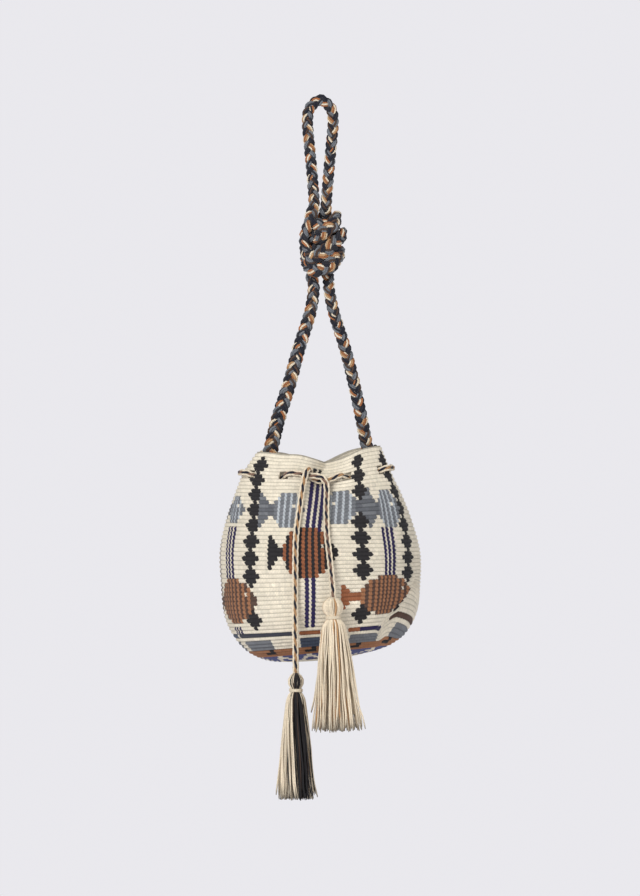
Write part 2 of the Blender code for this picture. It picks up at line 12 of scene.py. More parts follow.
import bmesh
import bpy
import numpy as np
from mathutils import Vector
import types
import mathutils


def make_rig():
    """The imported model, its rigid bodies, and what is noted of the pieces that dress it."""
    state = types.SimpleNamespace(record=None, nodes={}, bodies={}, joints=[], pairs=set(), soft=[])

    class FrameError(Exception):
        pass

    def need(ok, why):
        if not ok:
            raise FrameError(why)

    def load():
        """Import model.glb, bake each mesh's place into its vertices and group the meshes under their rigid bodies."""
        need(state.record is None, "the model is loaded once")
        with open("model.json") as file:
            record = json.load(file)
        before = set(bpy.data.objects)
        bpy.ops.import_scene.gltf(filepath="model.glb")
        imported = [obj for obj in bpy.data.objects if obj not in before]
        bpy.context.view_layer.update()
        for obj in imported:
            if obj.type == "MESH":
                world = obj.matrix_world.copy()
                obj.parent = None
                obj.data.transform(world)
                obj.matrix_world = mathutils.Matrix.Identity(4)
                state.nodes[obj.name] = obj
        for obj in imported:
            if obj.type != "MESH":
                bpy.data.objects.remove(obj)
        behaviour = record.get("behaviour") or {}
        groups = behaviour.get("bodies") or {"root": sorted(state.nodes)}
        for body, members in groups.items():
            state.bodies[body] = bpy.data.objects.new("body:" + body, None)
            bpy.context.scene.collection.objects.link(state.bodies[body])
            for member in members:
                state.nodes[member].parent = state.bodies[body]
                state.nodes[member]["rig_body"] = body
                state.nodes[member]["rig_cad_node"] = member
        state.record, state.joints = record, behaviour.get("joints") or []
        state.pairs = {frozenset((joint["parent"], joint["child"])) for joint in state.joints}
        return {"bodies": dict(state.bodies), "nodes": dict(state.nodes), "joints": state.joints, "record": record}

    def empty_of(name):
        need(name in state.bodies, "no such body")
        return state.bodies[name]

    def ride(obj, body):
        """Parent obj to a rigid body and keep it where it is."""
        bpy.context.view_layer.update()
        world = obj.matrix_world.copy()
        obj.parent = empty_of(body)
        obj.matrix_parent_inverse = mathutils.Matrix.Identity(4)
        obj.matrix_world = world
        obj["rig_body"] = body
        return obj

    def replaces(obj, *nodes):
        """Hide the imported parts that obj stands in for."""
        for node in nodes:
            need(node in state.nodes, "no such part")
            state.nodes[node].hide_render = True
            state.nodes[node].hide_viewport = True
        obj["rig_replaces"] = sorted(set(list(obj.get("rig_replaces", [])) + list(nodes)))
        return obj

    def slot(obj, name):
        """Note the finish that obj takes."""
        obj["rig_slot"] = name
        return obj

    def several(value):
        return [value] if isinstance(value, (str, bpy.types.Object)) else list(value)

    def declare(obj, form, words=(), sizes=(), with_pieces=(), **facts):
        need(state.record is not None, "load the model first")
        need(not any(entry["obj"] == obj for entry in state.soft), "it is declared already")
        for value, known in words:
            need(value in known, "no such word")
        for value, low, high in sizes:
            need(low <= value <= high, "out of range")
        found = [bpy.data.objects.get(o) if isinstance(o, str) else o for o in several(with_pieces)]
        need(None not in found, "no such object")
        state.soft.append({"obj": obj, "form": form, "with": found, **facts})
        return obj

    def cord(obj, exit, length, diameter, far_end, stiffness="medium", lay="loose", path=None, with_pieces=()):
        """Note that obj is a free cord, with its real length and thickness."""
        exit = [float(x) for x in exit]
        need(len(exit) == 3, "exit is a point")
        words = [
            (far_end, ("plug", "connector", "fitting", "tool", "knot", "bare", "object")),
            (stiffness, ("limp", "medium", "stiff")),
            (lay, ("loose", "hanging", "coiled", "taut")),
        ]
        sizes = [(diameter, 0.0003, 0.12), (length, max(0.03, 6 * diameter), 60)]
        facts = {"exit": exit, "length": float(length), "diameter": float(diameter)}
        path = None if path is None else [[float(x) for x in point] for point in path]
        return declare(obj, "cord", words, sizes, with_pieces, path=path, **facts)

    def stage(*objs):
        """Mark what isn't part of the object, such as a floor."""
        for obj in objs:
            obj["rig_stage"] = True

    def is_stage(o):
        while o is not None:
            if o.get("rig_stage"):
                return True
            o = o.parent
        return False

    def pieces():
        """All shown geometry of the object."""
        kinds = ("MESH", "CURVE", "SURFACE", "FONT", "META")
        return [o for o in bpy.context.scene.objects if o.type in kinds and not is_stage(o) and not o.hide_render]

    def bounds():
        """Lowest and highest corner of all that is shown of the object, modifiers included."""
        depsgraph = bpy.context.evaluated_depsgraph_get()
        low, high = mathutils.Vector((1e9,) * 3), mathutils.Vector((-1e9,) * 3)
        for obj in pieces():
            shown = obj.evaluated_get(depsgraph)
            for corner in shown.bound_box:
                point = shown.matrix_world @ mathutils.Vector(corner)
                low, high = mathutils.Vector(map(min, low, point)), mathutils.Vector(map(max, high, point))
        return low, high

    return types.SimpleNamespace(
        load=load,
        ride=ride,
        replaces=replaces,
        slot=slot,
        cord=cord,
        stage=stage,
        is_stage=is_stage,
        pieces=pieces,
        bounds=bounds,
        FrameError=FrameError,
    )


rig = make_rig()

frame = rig.load()
CAD_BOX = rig.bounds()

Array = np.ndarray
BMesh = bmesh.types.BMesh
Material = bpy.types.Material
Mesh = bpy.types.Mesh
Piece = bpy.types.Object
Socket = bpy.types.NodeSocket

LOG = logging.getLogger("crossbody_bag")
FRONT = np.array([0.0, -1.0, 0.0])

# The bucket's stations: depth below the loop, then the wall's reach to the left, right, front and back.
STATIONS = np.array([
    (0.4125, 0.077, 0.072, 0.056, 0.054), (0.437, 0.094, 0.084, 0.071, 0.065),
    (0.470, 0.106, 0.100, 0.086, 0.077), (0.503, 0.115, 0.112, 0.096, 0.084),
    (0.538, 0.121, 0.1205, 0.101, 0.088), (0.578, 0.119, 0.120, 0.101, 0.088),
    (0.608, 0.116, 0.116, 0.097, 0.085), (0.632, 0.107, 0.104, 0.087, 0.077),
    (0.650, 0.090, 0.085, 0.070, 0.063), (0.660, 0.066, 0.061, 0.050, 0.045),
    (0.6645, 0.034, 0.031, 0.026, 0.023), (0.6655, 0.0, 0.0, 0.0, 0.0),
])
WALL = 0.004
ROUND_PITCH = 0.005
EYELET_ANGLES = tuple(math.radians(angle) for angle in (25, 55, 105, 135, 165))
EYELET_DROP = 0.030
STRAP_WIDTH = 0.0135
CORD_WIDTH = 0.0074
TUBE_TAPER = 0.55


# Lines and frames


def turn_between(angle: Array, centre: Array) -> Array:
    """The angle from centre, between half a turn back and half a turn on."""
    return (angle - centre + math.pi) % (2 * math.pi) - math.pi


def bell(angle: Array, middle: float, width: float) -> Array:
    """A hump over the angles: one at its middle, fading over its half width, both in degrees."""
    return np.exp(-((turn_between(angle, math.radians(middle)) / math.radians(width)) ** 2))


def unit(vectors: Array) -> Array:
    """The vectors at length one."""
    return vectors / np.maximum(np.linalg.norm(vectors, axis=-1, keepdims=True), 1e-12)


def spline(points: Array, places: Array) -> Array:
    """Points of a smooth curve through the given ones.

    Args:
        points: The curve's own points, one row each.
        places: Where to read it, with whole numbers at its own points.

    Returns:
        One row for each place.
    """
    points = np.asarray(points, float)
    places = np.asarray(places, float)
    last = len(points) - 1
    index = np.minimum(places.astype(int), last - 1)
    part = (places - index)[..., None]
    before = points[np.maximum(index - 1, 0)]
    start = points[index]
    end = points[index + 1]
    after = points[np.minimum(index + 2, last)]
    return 0.5 * (
        2 * start + (end - before) * part
        + (2 * before - 5 * start + 4 * end - after) * part**2
        + (3 * start - before - 3 * end + after) * part**3
    )


def even_line(route: Array, step: float) -> Array:
    """The smooth curve through a route, read at even distances."""
    route = np.asarray(route, float)
    places = np.linspace(0, len(route) - 1, 30 * len(route))
    curve = spline(route, places)
    lengths = distances(curve)
    marks = np.linspace(0, lengths[-1], max(int(lengths[-1] / step), 4) + 1)
    return np.column_stack([np.interp(marks, lengths, column) for column in curve.T])


def distances(line: Array) -> Array:
    """How far along a line of points each of them is."""
    return np.concatenate([[0], np.cumsum(np.linalg.norm(np.diff(line[:, :3], axis=0), axis=1))])


def line_length(line: Array) -> float:
    """The length of a line of points."""
    return float(np.linalg.norm(np.diff(line[:, :3], axis=0), axis=1).sum())


def tangents(line: Array) -> Array:
    """The direction of a line at each of its points."""
    return unit(np.gradient(line, axis=0))


def facing(line: Array, faces: Array) -> tuple[Array, Array]:
    """The frame of a flat thing that follows a line."""
    along = tangents(line)
    faces = np.broadcast_to(faces, line.shape)
    out = unit(faces - along * (faces * along).sum(axis=1, keepdims=True))
    return out, np.cross(along, out)


# Meshes


@dataclass(frozen=True)
class Yarn:
    """One yarn's run: its centreline, its thickness there and its colour."""

    line: Array
    radius: Array | float
    colour: Array
    sides: int = 6
    face: Array = field(default_factory=lambda: FRONT)


class YarnMesh:
    """Many yarns made into one mesh, with a colour attribute and a UV map along each yarn."""

    def __init__(self, name: str) -> None:
        """Starts an empty mesh of that name."""
        self.name = name
        self.yarns: list[Yarn] = []

    def add(self, yarn: Yarn) -> None:
        """Adds one yarn."""
        self.yarns.append(yarn)

    def build(self, material: Material) -> Piece:
        """Lays every yarn as a round tube with closed ends.

        Args:
            material: What the yarns are finished with.

        Returns:
            The finished object.
        """
        bm = bmesh.new()
        places, colours, uvs = [], [], []
        for yarn in self.yarns:
            rings, ring_colours, ring_uvs = self.tube_rings(yarn)
            places.append(rings.reshape(-1, 3))
            colours.append(ring_colours.reshape(-1, 4))
            uvs.append(ring_uvs.reshape(-1, 2))
            self.lay_tube(bm, len(rings), yarn.sides)
        mesh = bpy.data.meshes.new(self.name)
        bm.to_mesh(mesh)
        bm.free()
        mesh.vertices.foreach_set("co", np.concatenate(places).astype(np.float32).ravel())
        corners = np.empty(len(mesh.loops), np.int32)
        mesh.loops.foreach_get("vertex_index", corners)
        shade = mesh.color_attributes.new("yarn_colour", "FLOAT_COLOR", "POINT")
        shade.data.foreach_set("color", np.concatenate(colours).astype(np.float32).ravel())
        layer = mesh.uv_layers.new(name="yarn_run")
        layer.data.foreach_set("uv", np.concatenate(uvs)[corners].astype(np.float32).ravel())
        return finished(self.name, mesh, material)

    @staticmethod
    def tube_rings(yarn: Yarn) -> tuple[Array, Array, Array]:
        """The rings of one yarn's tube.

        Args:
            yarn: The yarn to follow.

        Returns:
            Each ring's points, colours and UVs, as (rings, sides, values).
        """
        line = np.asarray(yarn.line, float)
        count = len(line)
        out, across = facing(line, yarn.face)
        turn = np.arange(yarn.sides) * 2 * math.pi / yarn.sides
        radius = np.broadcast_to(np.asarray(yarn.radius, float), (count,)).copy()
        radius[[0, -1]] *= TUBE_TAPER
        spread = out[:, None] * np.cos(turn)[None, :, None] + across[:, None] * np.sin(turn)[None, :, None]
        rings = line[:, None] + spread * radius[:, None, None]
        colour = np.broadcast_to(yarn.colour, (count, 4))
        colours = np.repeat(colour[:, None], yarn.sides, axis=1)
        lengths = distances(line)
        uvs = np.zeros((count, yarn.sides, 2))
        uvs[..., 0] = np.abs(turn / math.pi - 1)[None]
        uvs[..., 1] = lengths[:, None] * 100
        return rings, colours, uvs

    @staticmethod
    def lay_tube(bm: BMesh, rings: int, sides: int) -> None:
        """Adds a closed tube of that many rings by extruding a small disc.

        Args:
            bm: The mesh to add to.
            rings: How many rings the tube has.
            sides: How many sides each ring has.
        """
        made = bmesh.ops.create_circle(bm, cap_ends=False, segments=sides, radius=1.0)["verts"]
        bm.faces.new(tuple(reversed(made)))
        ring = made
        for _ in range(rings - 1):
            after = [bm.verts.new(vert.co) for vert in ring]
            for side in range(sides):
                beside = (side + 1) % sides
                bm.faces.new((ring[side], ring[beside], after[beside], after[side]))
            ring = after
        bm.faces.new(tuple(ring))


def finished(name: str, mesh: Mesh, material: Material) -> Piece:
    """Links a mesh as a smooth object at the origin."""
    mesh.shade_smooth()
    mesh.materials.append(material)
    mesh.update()
    obj = bpy.data.objects.new(name, mesh)
    bpy.context.scene.collection.objects.link(obj)
    return obj


# The crocheted bucket


@dataclass(frozen=True)
class Fold:
    """A fold of the wall: its angle at the rim and at its end, half width, depth (inward is negative) and reach."""

    rim_angle: float
    end_angle: float
    width: float
    depth: float
    reach: float

    def lift(self, angle: Array, drop: Array) -> Array:
        """How far the fold moves the wall outward."""
        part = np.minimum(drop / self.reach, 1.0)
        middle = np.radians(self.rim_angle + (self.end_angle - self.rim_angle) * part)
        offset = turn_between(angle, middle) / math.radians(self.width)
        return self.depth * np.exp(-(offset**2)) * (1 - part) ** 1.3


@dataclass(frozen=True)
class Crease:
    """The slanting crease at the lower right, with a slack facet beyond it."""

    angle: float = math.radians(55)
    drop: float = 0.193
    radius: float = 0.118
    half_length: float = 0.038
    bulge: float = 0.0030
    sink: float = 0.0085
    edge: float = 0.0014
    fade: float = 0.012
    facet: float = 0.024
    tilt: float = 0.75
    tilt_from: float = 0.020
    tilt_to: float = 0.075
    tilt_fade: float = 0.045
    tilt_shift: float = 0.006
    tilt_span: tuple[float, float] = (-0.012, 0.022)

    def place(self, angle: Array, drop: Array) -> tuple[Array, Array, Array]:
        """Where points lie by the crease.

        Args:
            angle: Angles from the front.
            drop: Distances down the wall.

        Returns:
            The distance beyond the crease, a share that fades out along it, and the distance to its right.
        """
        right = turn_between(angle, self.angle) * self.radius
        down = drop - self.drop
        along = (down - right) / math.sqrt(2)
        return (right + down) / math.sqrt(2), np.exp(-((along / self.half_length) ** 4)), right

    def lift(self, angle: Array, drop: Array) -> Array:
        """How far the crease moves the wall outward."""
        beyond, share, _ = self.place(angle, drop)
        step = 0.5 + 0.5 * np.tanh(beyond / self.edge)
        before = self.bulge * np.exp(np.minimum(beyond, 0.0) / self.fade) * (1 - step)
        after = self.sink * np.exp(-((np.maximum(beyond, 0.0) / self.facet) ** 2)) * step
        return (before - after) * share

    def slide(self, angle: Array, drop: Array) -> Array:
        """How far the rounds slide down the wall, so that they run slanting over the facet."""
        beyond, share, right = self.place(angle, drop)
        near = np.clip(beyond / self.tilt_from, 0.0, 1.0) * np.clip((self.tilt_to - beyond) / self.tilt_fade, 0.0, 1.0)
        return -self.tilt * np.clip(right + self.tilt_shift, *self.tilt_span) * near * share


@dataclass(frozen=True)
class WallForm:
    """The bucket's smooth outer surface, by angle from the front and by distance down from the rim."""

    folds: tuple[Fold, ...] = (
        Fold(11, -8, 11, -0.024, 0.13), Fold(180, 184, 18, -0.014, 0.12),
        Fold(-60, -70, 13, 0.008, 0.14), Fold(64, 58, 13, 0.008, 0.14),
        Fold(-90, -98, 15, -0.006, 0.11), Fold(90, 100, 15, -0.005, 0.11),
        Fold(-128, -120, 15, 0.006, 0.12), Fold(130, 124, 15, 0.006, 0.12),
    )
    dent_angle: float = math.radians(60)
    dent_width: float = math.radians(17)
    dent_drop: float = 0.225
    dent_height: float = 0.026
    dent_depth: float = 0.013
    rim_tilt: float = math.radians(2.8)
    base_tilt: float = math.radians(5.0)
    tilt_reach: float = 0.10
    dip_front: float = 0.016
    dip_back: float = 0.017
    dip_left: float = 0.0035
    dip_width: float = 25.0
    dip_left_place: tuple[float, float] = (-33.0, 16.0)
    dip_reach: float = 0.12
    crease: Crease = field(default_factory=Crease)

    def ruler(self) -> tuple[Array, Array]:
        """Distances down the wall, and the place among the stations that each has."""
        places = np.linspace(0, len(STATIONS) - 1, 600)
        rings = spline(STATIONS, places)
        radius = rings[:, 1:].mean(axis=1)
        steps = np.hypot(np.diff(radius), np.diff(rings[:, 0]))
        return np.concatenate([[0], np.cumsum(steps)]), places

    def length(self) -> float:
        """The wall's length from the rim to the middle of the base."""
        return float(self.ruler()[0][-1])

    def point(self, angle: Array, drop: Array) -> Array:
        """Points of the smooth outer surface.

        Args:
            angle: Angles from the front, in radians.
            drop: Distances down the wall from the rim.

        Returns:
            The points, with x, y and z last.
        """
        angle, drop = np.broadcast_arrays(np.asarray(angle, float), np.asarray(drop, float))
        drops, places = self.ruler()
        rows = spline(STATIONS, np.interp(drop, drops, places))
        depth, left, right, front, back = np.moveaxis(rows, -1, 0)
        across = np.sin(angle)
        along = -np.cos(angle)
        x = (right - left) / 2 + across * (left + right) / 2
        y = along * ((front + back) / 2) + (back - front) / 2 * along**2
        side = np.where(across > 0, right, left)
        lift = sum(fold.lift(angle, drop) for fold in self.folds)
        sideways = turn_between(angle, self.dent_angle) / self.dent_width
        downward = (drop - self.dent_drop) / self.dent_height - sideways * 0.5
        lift = lift - self.dent_depth * np.exp(-(sideways**2) - downward**2) + self.crease.lift(angle, drop)
        push = np.where(side > 0, lift / np.maximum(np.hypot(x, y), 0.02), 0.0)
        x = np.where(side > 0, x + x * push, 0.0)
        y = np.where(side > 0, y + y * push, 0.0)
        upper = np.maximum(1 - drop / self.tilt_reach, 0.0)
        lower = np.maximum(1 - (drops[-1] - drop) / self.tilt_reach, 0.0)
        tilt = math.tan(self.rim_tilt) * upper + math.tan(self.base_tilt) * np.minimum(2 * lower, 1.0)
        dip = self.dip_front * bell(angle, self.folds[0].rim_angle, self.dip_width)
        dip = dip + self.dip_back * bell(angle, self.folds[1].rim_angle, self.dip_width)
        dip = dip + self.dip_left * bell(angle, *self.dip_left_place)
        z = -depth + x * tilt - dip * np.maximum(1 - drop / self.dip_reach, 0.0) ** 2
        return np.stack([x, y, z], axis=-1)

    def normal(self, angle: Array, drop: Array) -> Array:
        """The way out of the wall."""
        step = 0.002
        low = np.minimum(drop + step, self.length() * 0.999)
        high = np.maximum(drop - step, 0.0)
        sideways = self.point(angle + 0.02, drop) - self.point(angle - 0.02, drop)
        out = np.cross(self.point(angle, low) - self.point(angle, high), sideways)
        flat = np.linalg.norm(out, axis=-1, keepdims=True) < 1e-12
        return unit(np.where(flat, np.array([0.0, 0.0, -1.0]), out))

    def outside(self, angle: Array, drop: Array, outward: Array | float) -> Array:
        """Points this far out of the wall, or inside it where that is negative."""
        return self.point(angle, drop) + self.normal(angle, drop) * np.asarray(outward, float)[..., None]

    def angle_across(self, angle: float, drop: float, width: float) -> float:
        """The angle that this width takes up along the wall."""
        step = 0.02
        reach = np.linalg.norm(self.point(angle + step, drop) - self.point(angle - step, drop))
        return float(width * 2 * step / reach)


class Cotton(Enum):
    """The crochet yarn's colours, as linear light."""

    CREAM = (0.690, 0.622, 0.497)
    BLACK = (0.021, 0.019, 0.020)
    RUST = (0.255, 0.092, 0.042)
    TAN = (0.300, 0.135, 0.064)
    GREY = (0.152, 0.158, 0.168)
    MIST = (0.420, 0.445, 0.468)
    NAVY = (0.024, 0.018, 0.065)
    VIOLET = (0.080, 0.090, 0.200)
    CHARCOAL = (0.040, 0.042, 0.055)
    SLATE = (0.060, 0.075, 0.110)
    ASH = (0.106, 0.110, 0.121)
    BROWN = (0.085, 0.050, 0.038)

    @property
    def number(self) -> int:
        """This colour's place in the palette."""
        return list(Cotton).index(self)


@dataclass(frozen=True)
class SteppedFish:
    """A fish of upright stripes, by steps of one stitch and one round."""

    stitch: float
    round: float
    half_length: int
    half_height: int
    way: int
    colours: tuple[Cotton, Cotton]
    tail: tuple[Cotton, Cotton]
    tail_half: int = 4
    nose: int = 2

    def draw(self, cloth: Array, stitches: Array, rounds: Array) -> None:
        """Works the fish into the pattern.

        Args:
            cloth: The pattern, as palette numbers by round and stitch.
            stitches: Each cell's stitch.
            rounds: Each cell's round.
        """
        along = (stitches - self.stitch) * self.way
        away = np.abs(rounds - self.round)
        shape = 1 - np.abs(along / (self.half_length + 0.5)) ** 2.6
        tall = np.floor(self.half_height * np.sqrt(np.maximum(shape, 0.0)) + 0.35)
        body = (np.abs(along) <= self.half_length) & (away <= tall)
        stripe = along.astype(int) % 2 == 0
        cloth[body & stripe] = self.colours[0].number
        cloth[body & ~stripe] = self.colours[1].number
        behind = -along - self.half_length
        stalk = (behind > 0) & (behind <= 2) & (away <= 1)
        fan = (behind > 2) & (behind <= 5) & (away <= self.tail_half - np.abs(5 - behind))
        cloth[stalk] = self.tail[0].number
        cloth[fan] = self.tail[0].number
        cloth[fan & (rounds.astype(int) % 2 == 0)] = self.tail[1].number
        before = along - self.half_length
        cloth[(before > 0) & (before <= self.nose) & (away <= self.nose - before + 0.5)] = self.colours[0].number
        cloth[(along == self.half_length - 2) & (rounds == math.floor(self.round) - 1)] = Cotton.CREAM.number


@dataclass(frozen=True)
class Pattern:
    """The tapestry pattern of one half of the bag, which the other half repeats."""

    stitches: int = 180
    half: int = 45
    diamonds: tuple[tuple[int, int], ...] = ((-22, -1), (12, -2), (30, -1))
    diamond_period: int = 4
    chain_end: int = 35
    lone_round: int = 41

    def palette(self) -> Array:
        """The colours in the palette's order."""
        return np.array([colour.value + (1.0,) for colour in Cotton])

    def cloth(self, rounds: int) -> Array:
        """The whole pattern."""
        rows, columns = np.mgrid[0:rounds, -self.half:self.half]
        cloth = np.full(rows.shape, Cotton.CREAM.number)
        self.draw_stripes(cloth, columns, rows)
        for stitch, shift in self.diamonds:
            self.draw_diamonds(cloth, columns, rows, stitch, shift)
        for fish in self.fish():
            fish.draw(cloth, columns, rows)
        self.draw_base(cloth, columns, rows)
        return np.concatenate([cloth, cloth], axis=1)

    def draw_stripes(self, cloth: Array, columns: Array, rows: Array) -> None:
        """Works in the upright stripes of one stitch, the small squares by the front pleat, and grey stitches down the
        pleat's valley that are painted shade.
        """
        # Each stripe: its stitch, its first round and the round that it ends before.
        runs = (
            (-33, 20, 34), (-31, 20, 34), (-29, 20, 34), (-33, 43, 45), (-31, 43, 45), (-29, 43, 45),
            (-4, 6, 22), (-2, 6, 22), (0, 6, 22), (-4, 32, 44), (-2, 32, 44),
            (20, 20, 32), (22, 20, 32), (24, 20, 32), (-41, 23, 35),
        )
        for stitch, top, bottom in runs:
            cloth[(columns == stitch) & (rows >= top) & (rows < bottom)] = Cotton.NAVY.number
        for stitch in (-6, -4, -2):
            cloth[(columns == stitch) & (rows >= 3) & (rows < 5)] = Cotton.BLACK.number
        # Painted shade: two grey stitches over six rounds in the front pleat's valley stand in for its shadow.
        pleat_shade = (columns >= 1) & (columns <= 2) & (rows >= 12) & (rows < 18)
        cloth[pleat_shade] = Cotton.GREY.number

    def draw_diamonds(self, cloth: Array, columns: Array, rows: Array, stitch: int, shift: int) -> None:
        """Works in one upright row of stepped diamonds."""
        step = (rows - shift) % self.diamond_period
        away = np.abs(columns - stitch)
        chain = (away <= np.choose(step, (2, 1, 0, 1))) & (rows >= 1) & (rows < self.chain_end + shift)
        lone = away <= 2 - np.abs(rows - self.lone_round)
        cloth[chain | lone] = Cotton.BLACK.number

    def fish(self) -> tuple[SteppedFish, ...]:
        """The fish of the three bands: pale ones above, then rust and dark ones."""
        pale = (Cotton.GREY, Cotton.MIST)
        ash = (Cotton.ASH, Cotton.GREY)
        warm = (Cotton.BLACK, Cotton.RUST)
        dull = (Cotton.BROWN, Cotton.TAN)
        # Each fish: its stitch and round, half its length and height, its way, its stripes, its tail and nose.
        return (
            SteppedFish(-11, 15, 4, 4, 1, pale, ash, 4, 1), SteppedFish(6, 14, 4, 4, -1, pale, ash, 4, 1),
            SteppedFish(-31, 15, 4, 3, 1, pale, ash, 3, 1), SteppedFish(24, 15, 4, 4, 1, pale, ash, 4, 1),
            SteppedFish(-4, 25.5, 7, 6, 1, warm, (Cotton.BLACK, Cotton.BLACK), 4, 2),
            SteppedFish(-30, 36.5, 8, 5, 1, dull, (Cotton.BROWN, Cotton.BROWN), 4, 1),
            SteppedFish(21, 36.5, 9, 5, 1, dull, (Cotton.RUST, Cotton.RUST), 3, 1),
        )

    def draw_base(self, cloth: Array, columns: Array, rows: Array) -> None:
        """Works in the bands round the foot and the base."""
        # Each band: its first round, the round that it ends before, and its blocks of stitches with their colours.
        bands = (
            (45, 46, ((-45, -34, Cotton.SLATE), (-32, -9, Cotton.CHARCOAL), (-6, 1, Cotton.RUST),
                      (10, 13, Cotton.RUST), (13, 27, Cotton.NAVY), (30, 45, Cotton.BROWN))),
            (47, 50, ((-45, -37, Cotton.GREY), (-31, -18, Cotton.GREY), (-6, 1, Cotton.SLATE),
                      (11, 24, Cotton.GREY), (33, 45, Cotton.GREY))),
            (50, 53, ((-45, 45, Cotton.TAN),)),
            (53, 57, ((-45, 45, Cotton.VIOLET),)),
            (57, 58, ((-45, 45, Cotton.NAVY),)),
        )
        for top, bottom, blocks in bands:
            for first, last, colour in blocks:
                here = (rows >= top) & (rows < bottom) & (columns >= first) & (columns < last)
                cloth[here] = colour.number
        for stitch in (-22, -3, 13, 33):
            dashes = (np.abs(columns - stitch) <= 2) & ((rows == 51) | (rows == 50) & (columns > stitch))
            cloth[dashes] = Cotton.BLACK.number
        wave = np.abs((columns + 12) % 16 - 8)
        zigzag = (rows >= 53) & (rows < 58) & (np.abs(wave - (rows - 53) * 1.6) <= 1.6)
        cloth[zigzag] = Cotton.CREAM.number


@dataclass
class CrochetBucket:
    """The bucket: raised rounds of stitches outside, a plain lining, a rounded rim and open eyelets."""

    form: WallForm = field(default_factory=WallForm)
    pattern: Pattern = field(default_factory=Pattern)
    columns_each: int = 2
    rows_each: int = 3
    lining_step: int = 12
    ridge: float = 0.0014
    notch: float = 0.0002
    swell_across: float = 0.42
    swell_down: float = 0.0006
    askew: float = 0.0085
    askew_from: float = 0.13
    askew_fade: float = 0.08
    gather: tuple[float, float, float] = (20.0, 38.0, 14.0)
    gather_reach: float = 0.11
    rim_reach: float = 0.10
    belly_from: float = 0.03
    belly_to: float = 0.16
    unevenness: float = 0.00010
    contrast: float = 0.2
    plain_lining: int = 5
    eyelet_half_columns: int = 3
    eyelet_first_round: int = 5
    eyelet_rounds: int = 2

    def rounds(self) -> int:
        """How many whole rounds the wall has."""
        return int(self.form.length() / ROUND_PITCH)

    def columns(self) -> int:
        """How many columns of faces go round."""
        return self.pattern.stitches * self.columns_each

    def profile(self) -> Array:
        """The turned profile: drop, outward and row number, from the base's outside up and down inside."""
        rows = self.rounds() * self.rows_each
        outer = np.arange(rows + 1)[::-1]
        drops = outer * ROUND_PITCH / self.rows_each
        outward = np.where(outer % self.rows_each == 0, -self.ridge, 0.0)
        first = self.eyelet_first_round * self.rows_each
        last = first + self.eyelet_rounds * self.rows_each
        inner = [0, first // 2, *range(first, last + 1)]
        while inner[-1] + 2 * self.lining_step < rows:
            inner.append(inner[-1] + self.lining_step)
        inner_drops = np.array(inner) * ROUND_PITCH / self.rows_each
        rim = np.array([[-0.0012, -0.0009, -1], [-0.0014, -WALL + 0.0012, -1]])
        wall = np.column_stack([drops, outward, outer])
        lining = np.column_stack([inner_drops, np.full(len(inner), -WALL), -10 - np.array(inner)])
        return np.concatenate([wall, rim, lining])

    def build(self, material: Material) -> Piece:
        """Turns, shapes and colours the bucket.

        Args:
            material: The crochet's finish.

        Returns:
            The finished object.
        """
        profile = self.profile()
        count = len(profile)
        bm = bmesh.new()
        chain = [bm.verts.new((0.0, 0.0, 0.0))]
        chain += [bm.verts.new((1.0, 0.0, float(step + 1))) for step in range(count)]
        chain.append(bm.verts.new((0.0, 0.0, float(count + 1))))
        edges = [bm.edges.new(pair) for pair in zip(chain, chain[1:])]
        bmesh.ops.spin(
            bm, geom=chain + edges, cent=(0, 0, 0), axis=(0, 0, 1), angle=2 * math.pi,
            steps=self.columns(), use_merge=True, use_duplicate=False,
        )
        poles = [vert for vert in bm.verts if math.hypot(vert.co.x, vert.co.y) < 0.5]
        bmesh.ops.remove_doubles(bm, verts=poles, dist=1e-4)
        self.open_eyelets(bm, profile)
        bmesh.ops.recalc_face_normals(bm, faces=bm.faces[:])
        # The turning makes the faces in another order in each run, so they are sorted by their corners.
        bm.verts.index_update()
        corners = {face: [vert.index for vert in face.verts] for face in bm.faces}
        bm.faces.sort(key=lambda face: min(corners[face]) * len(bm.verts) + max(corners[face]))
        mesh = bpy.data.meshes.new("crochet_bucket")
        bm.to_mesh(mesh)
        bm.free()
        self.shape(mesh, profile)
        return finished("crochet_bucket", mesh, material)

    def eyelet_columns(self) -> list[int]:
        """The middle column of each eyelet."""
        middles = []
        for angle in [-angle for angle in EYELET_ANGLES] + list(EYELET_ANGLES):
            theta = angle
            for _ in range(12):
                theta = angle - float(self.drift(np.array(theta), np.array(EYELET_DROP)))
            middles.append(round(theta / (2 * math.pi) * self.columns()) % self.columns())
        return middles

    def drift(self, theta: Array, drop: Array) -> Array:
        """How far the stitches lean sideways: where the drawstring gathers the front, and by the side folds.

        Args:
            theta: The stitches' own angles.
            drop: Distances down the wall.

        Returns:
            The angle to add.
        """
        middle, width, turn = self.gather
        total = math.radians(turn) * bell(theta, middle, width) * np.maximum(1 - drop / self.gather_reach, 0.0) ** 1.3
        rim = np.maximum(1 - drop / self.rim_reach, 0.0) ** 1.2
        belly = np.clip((drop - self.belly_from) / 0.04, 0.0, 1.0) * np.clip((self.belly_to - drop) / 0.06, 0.0, 1.0)
        # Each row: the middle and half width in degrees, how far the stitches shift there, and how far they spread.
        for middle, width, shift, stretch in (
            (-45.0, 20.0, -9.0 * rim, 5.0), (24.0, 15.0, 1.4, 4.0), (61.0, 18.0, 3.0 * belly - 2.0 * rim, 5.0),
        ):
            offset = turn_between(theta, math.radians(middle)) / math.radians(width)
            total = total + np.radians(shift + stretch * offset) * np.exp(-(offset**2))
        return total

    def slide(self, angle: Array, drop: Array) -> Array:
        """How far the rounds of the foot slide down on the left and up on the right, as the bag hangs askew."""
        length = self.form.length()
        start = np.clip((drop - self.askew_from) / self.askew_fade, 0.0, 1.0)
        end = np.clip((length - drop) / self.askew_fade, 0.0, 1.0)
        return -self.askew * np.sin(angle) * start * end + self.form.crease.slide(angle, drop)

